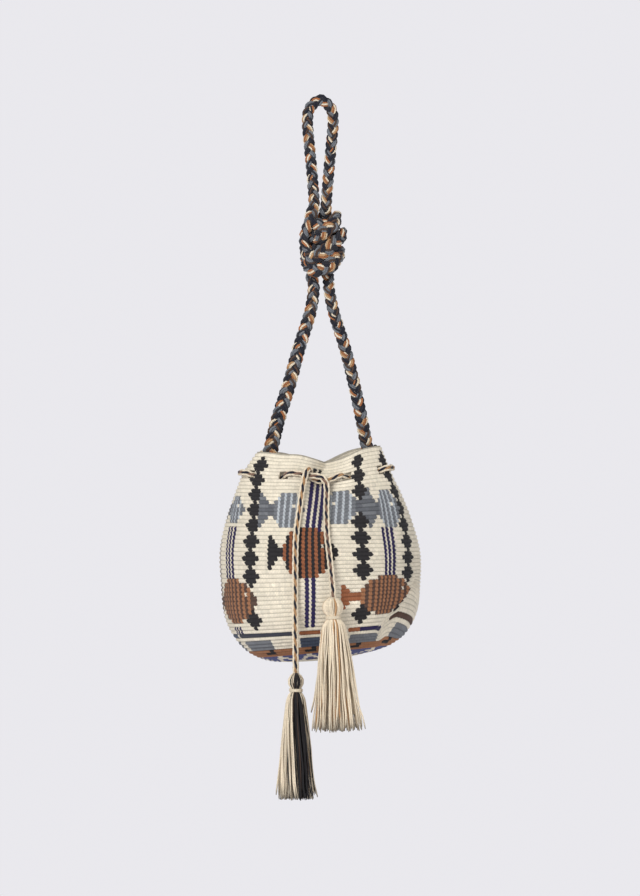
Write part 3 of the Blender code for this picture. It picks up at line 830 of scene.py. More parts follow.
    def open_eyelets(self, bm: BMesh, profile: Array) -> None:
        """Cuts the eyelets through the wall and the lining, and joins their edges.

        Args:
            bm: The turned mesh, whose height is the profile's row.
            profile: The profile.
        """
        top = self.eyelet_first_round * self.rows_each
        foot = top + self.eyelet_rounds * self.rows_each
        rows = profile[:, 2]
        outer = [int(np.argmax(rows == foot)) + 1, int(np.argmax(rows == top)) + 1]
        lining = [int(np.argmax(rows == -10 - top)) + 1, int(np.argmax(rows == -10 - foot)) + 1]
        columns = self.columns()
        half = self.eyelet_half_columns
        wanted = {
            column % columns: eyelet for eyelet, middle in enumerate(self.eyelet_columns())
            for column in range(middle - half, middle + half)
        }
        cut: dict[int, list[bmesh.types.BMFace]] = {}
        for face in bm.faces:
            middle = face.calc_center_median()
            level = math.floor(middle.z)
            if not (outer[0] <= level < outer[1] or lining[0] <= level < lining[1]):
                continue
            column = int(math.atan2(middle.y, middle.x) / (2 * math.pi) * columns % columns)
            eyelet = wanted.get(column)
            if eyelet is not None:
                cut.setdefault(eyelet, []).append(face)
        for faces in cut.values():
            members = set(faces)
            border = [
                edge for edge in {edge for face in faces for edge in face.edges}
                if sum(face in members for face in edge.link_faces) == 1
            ]
            bmesh.ops.delete(bm, geom=faces, context="FACES_ONLY")
            loose = [edge for edge in bm.edges if not edge.link_faces]
            bmesh.ops.delete(bm, geom=loose, context="EDGES")
            bmesh.ops.bridge_loops(bm, edges=[edge for edge in border if edge.is_valid])

    def shape(self, mesh: Mesh, profile: Array) -> None:
        """Moves the turned mesh to the bucket's shape, and gives it its UV map and colours.

        Args:
            mesh: The turned mesh, whose height is the profile's row.
            profile: The profile.
        """
        flat = np.empty(len(mesh.vertices) * 3, np.float32)
        mesh.vertices.foreach_get("co", flat)
        turned = flat.reshape(-1, 3).astype(float)
        level = np.clip(np.round(turned[:, 2]).astype(int) - 1, 0, len(profile) - 1)
        pole = np.hypot(turned[:, 0], turned[:, 1]) < 0.5
        drop, outward, row = profile[level].T
        columns = self.columns()
        column = np.round(np.arctan2(turned[:, 1], turned[:, 0]) / (2 * math.pi) * columns)
        ridge_row = (row > 0) & (row % self.rows_each != 0)
        lean = np.where(ridge_row, (row % self.rows_each - 1.5) * 0.5, 0.0)
        sideways, downward = self.spread(column.astype(int), row.astype(int), ridge_row)
        lean = lean + sideways
        theta = turn_between((column + lean) * 2 * math.pi / columns, 0.0)
        between = (column.astype(int) % self.columns_each != 0) & ridge_row
        seed = np.random.default_rng(7).normal(0.0, 1.0, len(turned))
        uneven = np.where(row >= 0, seed * self.unevenness, 0.0)
        outward = outward - between * self.notch + uneven
        drop = np.where(pole, self.form.length() - np.where(row < 0, 0.004, 0.0), drop + downward)
        safe = np.maximum(drop, 0.0)
        angle = theta + self.drift(theta, safe)
        safe = np.where(pole, safe, safe + self.slide(angle, safe))
        place = self.form.outside(angle, safe, np.where(pole, 0.0, outward))
        place[:, 2] += np.where(drop < 0, -drop, 0.0)
        centre = self.form.point(np.array(0.0), np.array(self.form.length()))
        place[pole] = centre + np.where(row[pole, None] < 0, [0.0, 0.0, WALL], [0.0, 0.0, 0.0])
        mesh.vertices.foreach_set("co", place.astype(np.float32).ravel())
        self.colour(mesh, turned, profile)

    def spread(self, column: Array, row: Array, ridge_row: Array) -> tuple[Array, Array]:
        """How far a dark stitch swells over a lighter one beside, above or below it.

        Args:
            column: Each vertex's column.
            row: Each vertex's row.
            ridge_row: Whether the row lies on a round's raised part.

        Returns:
            The moves, in columns to the right and in metres down.
        """
        light = self.pattern.palette()[:, :3].mean(axis=1)[self.pattern.cloth(self.rounds() + 1)]
        last = self.rounds()
        half = self.pattern.half
        stitches = self.pattern.stitches

        def tone(rounds: Array, stitch: Array) -> Array:
            """How light the stitch of that round is."""
            return light[np.clip(rounds, 0, last), (stitch + half) % stitches]

        rounds = row // self.rows_each
        step = tone(rounds, (column + 1) // 2) - tone(rounds, (column - 1) // 2)
        beside = (column % self.columns_each != 0) & ridge_row
        sideways = np.where(beside & (np.abs(step) > self.contrast), np.sign(step) * self.swell_across, 0.0)
        fall = tone(rounds, column // 2) - tone(rounds - 1, column // 2)
        below = (column % self.columns_each == 0) & (row > 0) & (row % self.rows_each == 0)
        downward = np.where(below & (np.abs(fall) > self.contrast), np.sign(fall) * self.swell_down, 0.0)
        return sideways, downward

    def colour(self, mesh: Mesh, turned: Array, profile: Array) -> None:
        """Writes each face's stitch as a UV map and as a colour attribute.

        Args:
            mesh: The bucket's mesh.
            turned: Its vertices before it was shaped.
            profile: The profile.
        """
        loops = len(mesh.loops)
        corners = np.empty(loops, np.int32)
        mesh.loops.foreach_get("vertex_index", corners)
        starts = np.empty(len(mesh.polygons), np.int32)
        totals = np.empty(len(mesh.polygons), np.int32)
        mesh.polygons.foreach_get("loop_start", starts)
        mesh.polygons.foreach_get("loop_total", totals)
        faces = np.repeat(np.arange(len(starts)), totals)
        columns = self.columns()
        column = np.arctan2(turned[corners, 1], turned[corners, 0]) / (2 * math.pi) * columns
        anchor = column[starts][faces]
        column = anchor + (column - anchor + columns / 2) % columns - columns / 2
        pole = np.hypot(turned[corners, 0], turned[corners, 1]) < 0.5
        column = np.where(pole, anchor, column)
        level = np.clip(np.round(turned[corners, 2]).astype(int) - 1, 0, len(profile) - 1)
        row = profile[level, 2]
        run = np.where(row <= -10, -10 - row, np.maximum(row, 0))
        share = 1.0 / totals
        middle_column = np.bincount(faces, column) * share
        middle_row = np.bincount(faces, run) * share
        outside = np.bincount(faces, (row >= 0).astype(float)) * share > 0.4
        stitch = np.floor(middle_column / self.columns_each + 0.5).astype(int)
        rounds = np.clip(np.floor(middle_row / self.rows_each).astype(int), 0, self.rounds())
        cloth = self.pattern.cloth(self.rounds() + 1)
        half = self.pattern.half
        number = cloth[rounds, (stitch + half) % self.pattern.stitches]
        number = np.where(outside | (rounds > self.plain_lining), number, Cotton.CREAM.number)
        palette = self.pattern.palette()
        rng = np.random.default_rng(3)
        tone = 1 + rng.normal(0.0, 0.045, (self.rounds() + 1, self.pattern.stitches))
        tone *= 1 + rng.normal(0.0, 0.02, (self.rounds() + 1, 1))
        colours = palette[number]
        colours[:, :3] *= tone[rounds, (stitch + half) % self.pattern.stitches][:, None]
        shade = mesh.color_attributes.new("yarn_colour", "FLOAT_COLOR", "CORNER")
        shade.data.foreach_set("color", colours[faces].astype(np.float32).ravel())
        layer = mesh.uv_layers.new(name="stitches")
        uv = np.column_stack([column / self.columns_each + 0.5, run / self.rows_each])
        layer.data.foreach_set("uv", uv.astype(np.float32).ravel())


# Finishes


class Nodes:
    """Adds and links the nodes of one material or world."""

    def __init__(self, owner: Material | bpy.types.World) -> None:
        """Starts on the owner's node tree."""
        owner.use_nodes = True
        self.owner = owner
        self.tree = owner.node_tree
        self.shader = self.tree.nodes.get("Principled BSDF")

    def node(self, kind: str, **settings: object) -> bpy.types.Node:
        """Adds a node of that kind, with these settings."""
        made = self.tree.nodes.new(kind)
        for key, value in settings.items():
            setattr(made, key, value)
        return made

    def put(self, value: object, socket: Socket) -> None:
        """Links an output to a socket, or writes a constant on it."""
        if isinstance(value, Socket):
            self.tree.links.new(value, socket)
        else:
            socket.default_value = value

    def math(self, operation: str, *values: object) -> Socket:
        """A math node's result."""
        made = self.node("ShaderNodeMath", operation=operation)
        for socket, value in zip(made.inputs, values):
            self.put(value, socket)
        return made.outputs[0]

    def noise(self, vector: Socket, scale: float, detail: float = 2.0) -> Socket:
        """A noise pattern's value."""
        made = self.node("ShaderNodeTexNoise")
        for name, value in (("Vector", vector), ("Scale", scale), ("Detail", detail)):
            self.put(value, made.inputs[name])
        return made.outputs[0]

    def span(self, value: object, low: float, high: float, to_low: float, to_high: float) -> Socket:
        """A value mapped from one range to another."""
        made = self.node("ShaderNodeMapRange")
        for name, number in (("From Min", low), ("From Max", high), ("To Min", to_low), ("To Max", to_high)):
            made.inputs[name].default_value = number
        self.put(value, made.inputs["Value"])
        return made.outputs[0]

    def tinted(self, colour: Socket, value: Socket) -> Socket:
        """A colour made lighter or darker by a factor."""
        made = self.node("ShaderNodeMix", data_type="RGBA", blend_type="MULTIPLY")
        made.inputs[0].default_value = 1.0
        self.put(colour, made.inputs[6])
        grey = self.node("ShaderNodeCombineColor")
        for socket in grey.inputs[:3]:
            self.put(value, socket)
        self.put(grey.outputs[0], made.inputs[7])
        return made.outputs[2]

    def bump(self, height: Socket, distance: float, strength: float) -> None:
        """Gives the shader a bump of that height in metres."""
        made = self.node("ShaderNodeBump")
        for name, value in (("Distance", distance), ("Strength", strength), ("Height", height)):
            self.put(value, made.inputs[name])
        self.put(made.outputs[0], self.shader.inputs["Normal"])

    def cloth(self, uv_map: str) -> tuple[Socket, Socket, Socket, Socket]:
        """The yarn's colour, the UV map's two values, and the object's own coordinates."""
        colour = self.node("ShaderNodeAttribute", attribute_name="yarn_colour").outputs["Color"]
        parts = self.node("ShaderNodeSeparateXYZ")
        self.put(self.node("ShaderNodeUVMap", uv_map=uv_map).outputs[0], parts.inputs[0])
        return colour, parts.outputs[0], parts.outputs[1], self.place()

    def place(self) -> Socket:
        """The object's own coordinates."""
        return self.node("ShaderNodeTexCoord").outputs["Object"]

    def cotton(self, colour: Socket, shade: Socket, roughness: float, sheen: float) -> None:
        """Makes the shader matt cotton of that colour and shade."""
        self.put(self.tinted(colour, shade), self.shader.inputs["Base Color"])
        self.shader.inputs["Roughness"].default_value = roughness
        self.shader.inputs["Specular IOR Level"].default_value = 0.25
        self.shader.inputs["Sheen Weight"].default_value = sheen
        self.shader.inputs["Sheen Roughness"].default_value = 0.5

    def plain(self, kind: str, colour: tuple[float, ...]) -> bpy.types.Node:
        """A background or emission node of one colour."""
        made = self.node(kind)
        made.inputs["Color"].default_value = (*colour, 1.0)
        return made

    def watched(self) -> Socket:
        """One for the camera's own rays and for reflections, and zero for all others."""
        rays = self.node("ShaderNodeLightPath")
        return self.math("MAXIMUM", rays.outputs["Is Camera Ray"], rays.outputs["Is Glossy Ray"])

    def blend(self, share: Socket, first: bpy.types.Node, second: bpy.types.Node, output: str) -> None:
        """Mixes two shaders and sends the result to the output node of that name."""
        mixed = self.node("ShaderNodeMixShader")
        for socket, value in zip(mixed.inputs, (share, first.outputs[0], second.outputs[0])):
            self.put(value, socket)
        self.put(mixed.outputs[0], self.tree.nodes[output].inputs["Surface"])


@dataclass(frozen=True)
class CrochetFinish:
    """Single crochet in cotton: each stitch two leaning legs, with the yarn's own fibres, and shade painted into its
    colour in the hollows between the legs and between the rounds.
    """

    name: str = "crochet_cotton"
    roughness: float = 0.92
    sheen: float = 0.06
    stitch_height: float = 0.0009
    leg_spread: float = 0.26
    leg_lean: float = 0.20
    leg_floor: float = 0.55

    def make(self) -> Material:
        """Makes the material."""
        nodes = Nodes(bpy.data.materials.new(self.name))
        colour, stitch_run, round_run, place = nodes.cloth("stitches")
        across = nodes.math("FRACT", stitch_run)
        down = nodes.math("FRACT", round_run)
        side = nodes.math("ABSOLUTE", nodes.math("SUBTRACT", across, 0.5))
        leg = nodes.math("ADD", nodes.math("MULTIPLY", down, -self.leg_lean), self.leg_spread + self.leg_lean / 2)
        away = nodes.math("ABSOLUTE", nodes.math("SUBTRACT", side, leg))
        round_leg = nodes.span(away, 0.0, 0.24, 1.0, self.leg_floor)
        edge = nodes.math("ABSOLUTE", nodes.math("SUBTRACT", down, 0.5))
        seam = nodes.span(edge, 0.34, 0.5, 1.0, 0.0)
        stitch = nodes.math("MULTIPLY", nodes.math("SQRT", round_leg), nodes.math("SQRT", seam))
        fibre = nodes.noise(place, 2600.0, 3.0)
        height = nodes.math("ADD", stitch, nodes.math("MULTIPLY", fibre, 0.22))
        nodes.bump(height, self.stitch_height, 0.75)
        worn = nodes.noise(place, 14.0, 4.0)
        # Painted shade: the colour falls to about half in the stitch's hollows and along the seam between rounds. The
        # worn noise only varies the tone at random.
        shade = nodes.math("MULTIPLY", nodes.span(stitch, 0.0, 1.0, 0.52, 1.10), nodes.span(worn, 0.3, 0.7, 0.94, 1.05))
        speck = nodes.span(nodes.noise(place, 900.0, 2.0), 0.3, 0.7, 0.92, 1.07)
        nodes.cotton(colour, nodes.math("MULTIPLY", shade, speck), self.roughness, self.sheen)
        return nodes.owner


@dataclass(frozen=True)
class YarnFinish:
    """Plied yarn: a fine twist along it, loose fibres, and shade painted into its colour in the grooves between the
    plies.
    """

    name: str
    twist: float = 5.0
    depth: float = 0.0004
    roughness: float = 0.9
    sheen: float = 0.08

    def make(self) -> Material:
        """Makes the material."""
        nodes = Nodes(bpy.data.materials.new(self.name))
        colour, around, along, place = nodes.cloth("yarn_run")
        run = nodes.math("ADD", around, nodes.math("MULTIPLY", along, self.twist))
        ply = nodes.math("ABSOLUTE", nodes.math("SUBTRACT", nodes.math("FRACT", run), 0.5))
        rope = nodes.span(ply, 0.0, 0.5, 1.0, 0.0)
        fibre = nodes.noise(place, 2200.0, 3.0)
        height = nodes.math("ADD", rope, nodes.math("MULTIPLY", fibre, 0.5))
        nodes.bump(height, self.depth, 0.6)
        speck = nodes.span(nodes.noise(place, 700.0, 3.0), 0.3, 0.7, 0.84, 1.12)
        # Painted shade: the colour darkens to 0.8 in the grooves between the plies. Speck varies the tone at random.
        shade = nodes.math("MULTIPLY", nodes.span(rope, 0.0, 1.0, 0.8, 1.04), speck)
        nodes.cotton(colour, shade, self.roughness, self.sheen)
        return nodes.owner


# The strap


class Shade(Enum):
    """The yarn colours of the strap, the drawstring and the tassels, as linear light."""

    CREAM = (0.700, 0.600, 0.450)
    RUST = (0.330, 0.125, 0.048)
    TAN = (0.400, 0.230, 0.110)
    GREY = (0.150, 0.160, 0.175)
    CHARCOAL = (0.022, 0.022, 0.028)
    INK = (0.014, 0.015, 0.026)
    BLACK = (0.016, 0.014, 0.015)
    BROWN = (0.070, 0.042, 0.030)

    def rgba(self, tone: float = 1.0) -> Array:
        """The colour with its alpha, made lighter or darker by a factor."""
        return np.array([channel * tone for channel in self.value] + [1.0])


@dataclass
class PlaitedStrap:
    """The shoulder strap: three strands of yarn plaited into one rope, tied in a doubled overhand knot."""

    form: WallForm = field(default_factory=WallForm)
    pitch: float = 0.024
    reach: float = 0.0040
    over: float = 0.0021
    yarn_radius: float = 0.00118
    strand_across: float = 0.0021
    strand_out: float = 0.0013
    yarns_each: int = 6
    yarn_turn: float = 0.085
    step: float = 0.0019
    knot_scale: tuple[float, float, float] = (1.14, 1.06, 1.18)
    knot_swell: float = 0.24
    # The radius and half height of the knot's charcoal heart, which is painted shade.
    core: tuple[float, float] = (0.0135, 0.032)
    coil_radius: float = 0.0150
    coil_half: float = 0.0250
    coil_turns: float = 3.1
    coil_start: float = 0.8
    end_swells: tuple[float, float] = (0.38, 0.16)
    end_reach: float = 0.26
    knot_half: float = 0.044
    knot_fade: float = 0.012
    facing_half: float = 0.040
    facing_from: float = 0.006
    sewn_depth: float = 0.024
    seam: float = 0.0008
    knot_centre: tuple[float, float, float] = (0.0035, 0.0, -0.1665)
    left_leg: tuple[tuple[float, float, float], ...] = (
        (-0.0500, 0.0, -0.3750), (-0.0367, 0.0, -0.3330), (-0.0257, 0.0, -0.2922),
        (-0.0126, 0.0, -0.2507), (-0.0082, 0.0, -0.2260),
    )
    right_leg: tuple[tuple[float, float, float], ...] = (
        (0.0494, 0.0, -0.3750), (0.0404, 0.0, -0.3330), (0.0301, 0.0, -0.2922),
        (0.0170, 0.0, -0.2507), (0.0115, 0.0, -0.2260),
    )
    loop: tuple[tuple[float, float, float], ...] = (
        (-0.0072, 0.0, -0.1180), (-0.0095, 0.0, -0.0850), (-0.0128, 0.0, -0.0500),
        (-0.0152, 0.0, -0.0220), (-0.0128, 0.0, -0.0040), (0.0, 0.0, 0.00675), (0.0130, 0.0, -0.0040),
        (0.0154, 0.0, -0.0220), (0.0130, 0.0, -0.0500), (0.0098, 0.0, -0.0850), (0.0072, 0.0, -0.1180),
    )
    # The knot's passes in millimetres from its middle, first from the left leg up, then from the loop down.
    rising: tuple[tuple[float, float, float], ...] = (
        (-10, 0, -41), (-13, 4, -27), (-12, 14, -14), (0, 19, -4), (14, 15, 4), (21, 2, 10), (18, -10, 7),
        (9, -18, -2), (-2, -20, -10), (-13, -15, -14), (-19, -10, -6), (-20, -8, 8), (-15, -8, 22), (-11, -3, 34),
    )
    falling: tuple[tuple[float, float, float], ...] = (
        (3, 0, 36), (1, 5, 27), (-5, 6, 16), (-9, -3, 9), (-6, -13, 7), (1, -18, 12), (10, -17, 19),
        (14, -10, 26), (15, 4, 26), (11, 15, 19), (-1, 19, 10), (-14, 13, 0), (-20, 2, -9), (-17, -9, -21),
        (-8, -16, -27), (3, -19, -24), (13, -15, -15), (19, -3, -9), (15, 11, -14), (6, 10, -28), (6, 2, -42),
    )

    def sewn(self, angle: float, above: tuple[float, float, float]) -> list[Array]:
        """A leg's last stretch, over the rim's level and down the inner face it is sewn to."""
        stand = WALL + STRAP_WIDTH / 2 + self.seam
        drops = np.array([0.0, self.sewn_depth / 2, self.sewn_depth])
        points = self.form.outside(np.full(3, math.radians(angle)), drops, np.full(3, -stand))
        entry = points[0] + np.array([(above[0] - points[0][0]) * 0.35, 0.0, (above[2] - points[0][2]) * 0.35])
        return [entry, *points]

    def route(self) -> Array:
        """The whole strap's centreline, from its left sewn end to its right one."""
        knot = np.array(self.knot_centre)
        left = self.sewn(-90, self.left_leg[0])[::-1]
        right = self.sewn(90, self.right_leg[0])
        points = [*left, *map(np.array, self.left_leg)]
        points += [knot + np.array(point) * self.knot_scale / 1000 for point in self.rising]
        points += [np.array(point) for point in self.loop]
        points += [knot + np.array(point) * self.knot_scale / 1000 for point in self.falling]
        points += [np.array(point) for point in self.right_leg[::-1]] + right
        return np.array(points)

    def line(self) -> Array:
        """The centreline as even points."""
        return even_line(self.route(), self.step)

    def faces(self, line: Array) -> Array:
        """The way the plait's flat side looks: to the front, and outward where it lies on the knot."""
        knot = np.array(self.knot_centre)
        away = (line - knot) * np.array([1.0, 1.0, 0.0])
        reach = np.linalg.norm(away, axis=1, keepdims=True)
        level = np.abs(line[:, 2:] - knot[2])
        near = np.clip((self.facing_half - level) / self.knot_fade, 0, 1)
        near = near * np.clip((reach - self.facing_from) / self.facing_from, 0, 1)
        mixed = unit(away + 1e-9) * near + FRONT * (1 - near)
        kernel = np.hanning(9) / np.hanning(9).sum()
        return unit(np.column_stack([np.convolve(np.pad(axis, 4, "edge"), kernel, "valid") for axis in mixed.T]))

    def widths(self, line: Array) -> Array:
        """How much wider than its plain width the strap is at each point: on the knot and at its ends."""
        lengths = np.linspace(0, line_length(line), len(line))
        left, right = self.end_swells
        knot = np.clip((self.knot_half - np.abs(line[:, 2] - self.knot_centre[2])) / self.knot_fade, 0, 1)
        from_left, from_right = (np.clip(1 - run / self.end_reach, 0, 1) ** 0.7 for run in (lengths, lengths[::-1]))
        return 1 + self.knot_swell * knot + left * from_left + right * from_right

    def strand_line(self, line: Array, faces: Array, strand: int, widths: Array) -> Array:
        """One strand's way through the plait."""
        out, across = facing(line, faces)
        lengths = distances(line)
        turn = 2 * math.pi * (lengths / self.pitch + strand / 3)
        sideways = self.reach * widths * np.sin(turn)
        return line + across * sideways[:, None] - out * (self.over * np.sin(2 * turn))[:, None]

    def strand_colours(self, strand: int) -> list[Shade]:
        """The yarns of one strand, side by side."""
        return [
            [Shade.CREAM, Shade.RUST, Shade.CHARCOAL, Shade.CREAM, Shade.TAN, Shade.RUST],
            [Shade.GREY, Shade.CHARCOAL, Shade.GREY, Shade.GREY, Shade.BROWN, Shade.GREY],
            [Shade.CHARCOAL, Shade.INK, Shade.CHARCOAL, Shade.BROWN, Shade.INK, Shade.CHARCOAL],
        ][strand]

    def build(self, material: Material) -> tuple[Piece, Array]:
        """Plaits the strap."""
        line = self.line()
        mesh = YarnMesh("plaited_strap")
        self.plait(mesh, line, self.faces(line), self.widths(line))
        return mesh.build(material), line

    def plait(self, mesh: YarnMesh, line: Array, faces: Array, widths: Array) -> None:
        """Plaits three strands of yarn along a line.

        Args:
            mesh: Where the yarns go.
            line: The plait's centreline.
            faces: The way its flat side looks, at each point.
            widths: How much wider than plain it is, at each point.
        """
        lengths = np.linspace(0, line_length(line), len(line))
        for strand in range(3):
            middle = self.strand_line(line, faces, strand, widths)
            out, across = facing(middle, faces)
            for number, shade in enumerate(self.strand_colours(strand)):
                turn = 2 * math.pi * ((number + 0.5) / self.yarns_each + lengths / self.yarn_turn)
                offset = across * (np.cos(turn) * self.strand_across * widths)[:, None]
                offset = offset + out * (np.sin(turn) * self.strand_out * widths)[:, None]
                tone = 1 + 0.10 * math.sin(2.1 * number + strand)
                mesh.add(Yarn(middle + offset, self.yarn_radius * widths, shade.rgba(tone), 6, faces))

    def build_core(self, material: Material) -> Piece:
        """Makes the passes inside the knot, which show between the outer ones: a coil of the plait on a dark heart, a
        charcoal solid that is painted shade in the knot's hollow.

        Args:
            material: The yarn's finish.

        Returns:
            The object.
        """
        radius, half = self.core
        middle = np.array(self.knot_centre)
        share = np.linspace(-1, 1, 15)
        mesh = YarnMesh("knot_passes_on_shade_heart")
        # Painted shade: a solid charcoal heart fills the knot, so that its gaps look dark.
        heart = middle + np.outer(share, [0.0, 0.0, half])
        mesh.add(Yarn(heart, radius * np.sqrt(1.02 - share**2), Shade.CHARCOAL.rgba(), 16, FRONT))
        share = np.linspace(-1, 1, 170)
        angle = math.pi * self.coil_turns * share + self.coil_start
        around = np.column_stack([np.cos(angle), np.sin(angle), np.zeros_like(angle)])
        coil = middle + around * self.coil_radius + np.outer(share, [0.0, 0.0, -self.coil_half])
        self.plait(mesh, coil, around, np.full(len(coil), 1.1))
        return mesh.build(material)


@dataclass
class WhipStitches:
    """The few stitches of thread that sew each end of the strap over the rim."""

    form: WallForm = field(default_factory=WallForm)
    places: tuple[tuple[float, Shade], ...] = (
        (-96.0, Shade.CREAM), (-93.5, Shade.BLACK), (-88.0, Shade.BLACK), (-85.0, Shade.CREAM),
        (87.0, Shade.BLACK), (92.0, Shade.CREAM), (95.0, Shade.BLACK),
    )
    radius: float = 0.0008

    def build(self, material: Material) -> Piece:
        """Lays the stitches.

        Args:
            material: The thread's finish.

        Returns:
            The object.
        """
        mesh = YarnMesh("strap_whip_stitches")
        for angle, shade in self.places:
            around = math.radians(angle)
            drops = np.array([0.0065, 0.0035, 0.0005, 0.0, 0.0, 0.0005, 0.0035, 0.0060])
            before = [-0.0014, 0.0007, 0.0004, -0.0008]
            behind = [-WALL + 0.0008, -WALL - 0.0007, -WALL - 0.0010, -WALL]
            outward = np.array(before + behind)
            lift = np.array([0.0, 0.0, 0.0, 0.0022, 0.0022, 0.0, 0.0, 0.0])
            points = self.form.outside(np.full(8, around), drops, outward)
            points[:, 2] += lift
            line = even_line(points, 0.0012)
            mesh.add(Yarn(line, self.radius, shade.rgba(), 6, np.array([math.cos(around), math.sin(around), 0.0])))
        return mesh.build(material)


# The drawstring


@dataclass
class Drawstring:
    """The slim flat braid through the eyelets: two light and two dark strands, with its ends crossed in front."""

    form: WallForm = field(default_factory=WallForm)
    thickness: float = 0.005
    stand: float = 0.0013
    bend: float = 0.009
    step_angle: float = math.radians(9.5)
    pitch: float = 0.0176
    edge_reach: float = 0.0023
    ripple: float = 0.00025
    core_reach: float = 0.0009
    core_depth: float = 0.0013
    strand_radius: float = 0.0014
    step: float = 0.0011
    edge_tones: tuple[float, float] = (1.0, 1.12)
    brown_tone: float = 3.2
    change: float = 0.52
    left_tail: tuple[tuple[float, float, float], ...] = (
        (0.0240, -0.0695, -0.4425), (0.0105, -0.0705, -0.4485), (-0.0015, -0.0700, -0.4500),
        (-0.0098, -0.0692, -0.4462), (-0.0122, -0.0712, -0.4385), (-0.0140, -0.0765, -0.4352),
        (-0.0172, -0.0806, -0.4415), (-0.0203, -0.0822, -0.4560), (-0.0240, -0.0890, -0.4800),
        (-0.0284, -0.0980, -0.5142), (-0.0294, -0.1020, -0.5430), (-0.0294, -0.1025, -0.5802),
        (-0.0296, -0.1025, -0.6186), (-0.0292, -0.1025, -0.6500), (-0.0288, -0.1025, -0.6800),
    )
    right_tail: tuple[tuple[float, float, float], ...] = (
        (-0.0310, -0.0722, -0.4405), (-0.0190, -0.0742, -0.4425), (-0.0080, -0.0756, -0.4440),
        (0.0015, -0.0760, -0.4458), (0.0068, -0.0770, -0.4530), (0.0078, -0.0800, -0.4640),
        (0.0072, -0.0888, -0.4806), (0.0080, -0.1005, -0.5118), (0.0115, -0.1060, -0.5430),
        (0.0138, -0.1102, -0.5680), (0.0149, -0.1120, -0.5790), (0.0150, -0.1122, -0.5900),
    )

    def threaded(self) -> list[Array]:
        """The run in and out of the eyelets from the front's right to its left, each point with its face."""
        outside = self.thickness / 2 + self.stand
        inside = -WALL - outside
        near_step = WALL / 2 + outside
        centres = list(EYELET_ANGLES) + [2 * math.pi - angle for angle in reversed(EYELET_ANGLES)]
        rows: list[tuple[float, float]] = []
        side = outside
        for index, centre in enumerate(centres):
            near = self.form.angle_across(centre, EYELET_DROP, near_step)
            far = self.form.angle_across(centre, EYELET_DROP, near_step + self.bend)
            other = inside if side == outside else outside
            if index > 0:
                rows.append((centre - far, side))
            rows += [(centre - near, side), (centre + near, other)]
            if index + 1 < len(centres):
                rows.append((centre + far, other))
                span = centres[index + 1] - centre - 2 * far
                middles = round(span / self.step_angle)
                rows += [(centre + far + span * step / middles, other) for step in range(1, middles)]
            side = other
        angles, sides = np.array(rows).T
        drops = np.full(len(rows), EYELET_DROP)
        points = self.form.outside(angles, drops, sides)
        return [np.concatenate(pair) for pair in zip(points, self.form.normal(angles, drops))]

    def route(self) -> Array:
        """The whole cord, from the left tassel round the mouth to the right one, with its faces."""
        left = [np.concatenate([point, FRONT]) for point in self.left_tail[::-1]]
        right = [np.concatenate([point, FRONT]) for point in self.right_tail]
        return np.array(left + self.threaded() + right)

    def strand_colours(self, lengths: Array, way: int, number: int) -> Array:
        """One strand's colours along the cord: the edges are light, and the winding pair changes at the bag's back.

        Args:
            lengths: Distances along the cord.
            way: 1 at the edges or -1 for the winding pair.
            number: 0 or 1, which of the two.

        Returns:
            A colour for each point.
        """
        if way > 0:
            return Shade.CREAM.rgba(self.edge_tones[number])
        before, after = ((Shade.TAN.rgba(), Shade.BROWN.rgba(self.brown_tone)), (Shade.INK.rgba(),) * 2)[number]
        return np.where((lengths < self.change * lengths[-1])[:, None], before, after)

    def build(self, material: Material) -> tuple[Piece, Array]:
        """Braids the cord.

        Args:
            material: The yarn's finish.

        Returns:
            The object, and the centreline that it follows.
        """
        route = even_line(self.route(), self.step)
        line, faces = route[:, :3], unit(route[:, 3:])
        out, across = facing(line, faces)
        lengths = distances(line)
        mesh = YarnMesh("drawstring_braid")
        turn = 2 * math.pi * lengths / self.pitch
        for number in (0, 1):
            side = 1 - 2 * number
            ripple = self.ripple * np.sin(2 * turn + number * math.pi / 2)
            edge = line + across * (side * (self.edge_reach + ripple))[:, None] + out * ripple[:, None]
            mesh.add(Yarn(edge, self.strand_radius, self.strand_colours(lengths, 1, number), 7, faces))
            wind = turn + number * math.pi
            core = line + across * (self.core_reach * np.cos(wind))[:, None]
            core = core + out * (self.core_depth * np.sin(wind))[:, None]
            mesh.add(Yarn(core, self.strand_radius, self.strand_colours(lengths, -1, number), 7, faces))
        return mesh.build(material), line


# The tassels


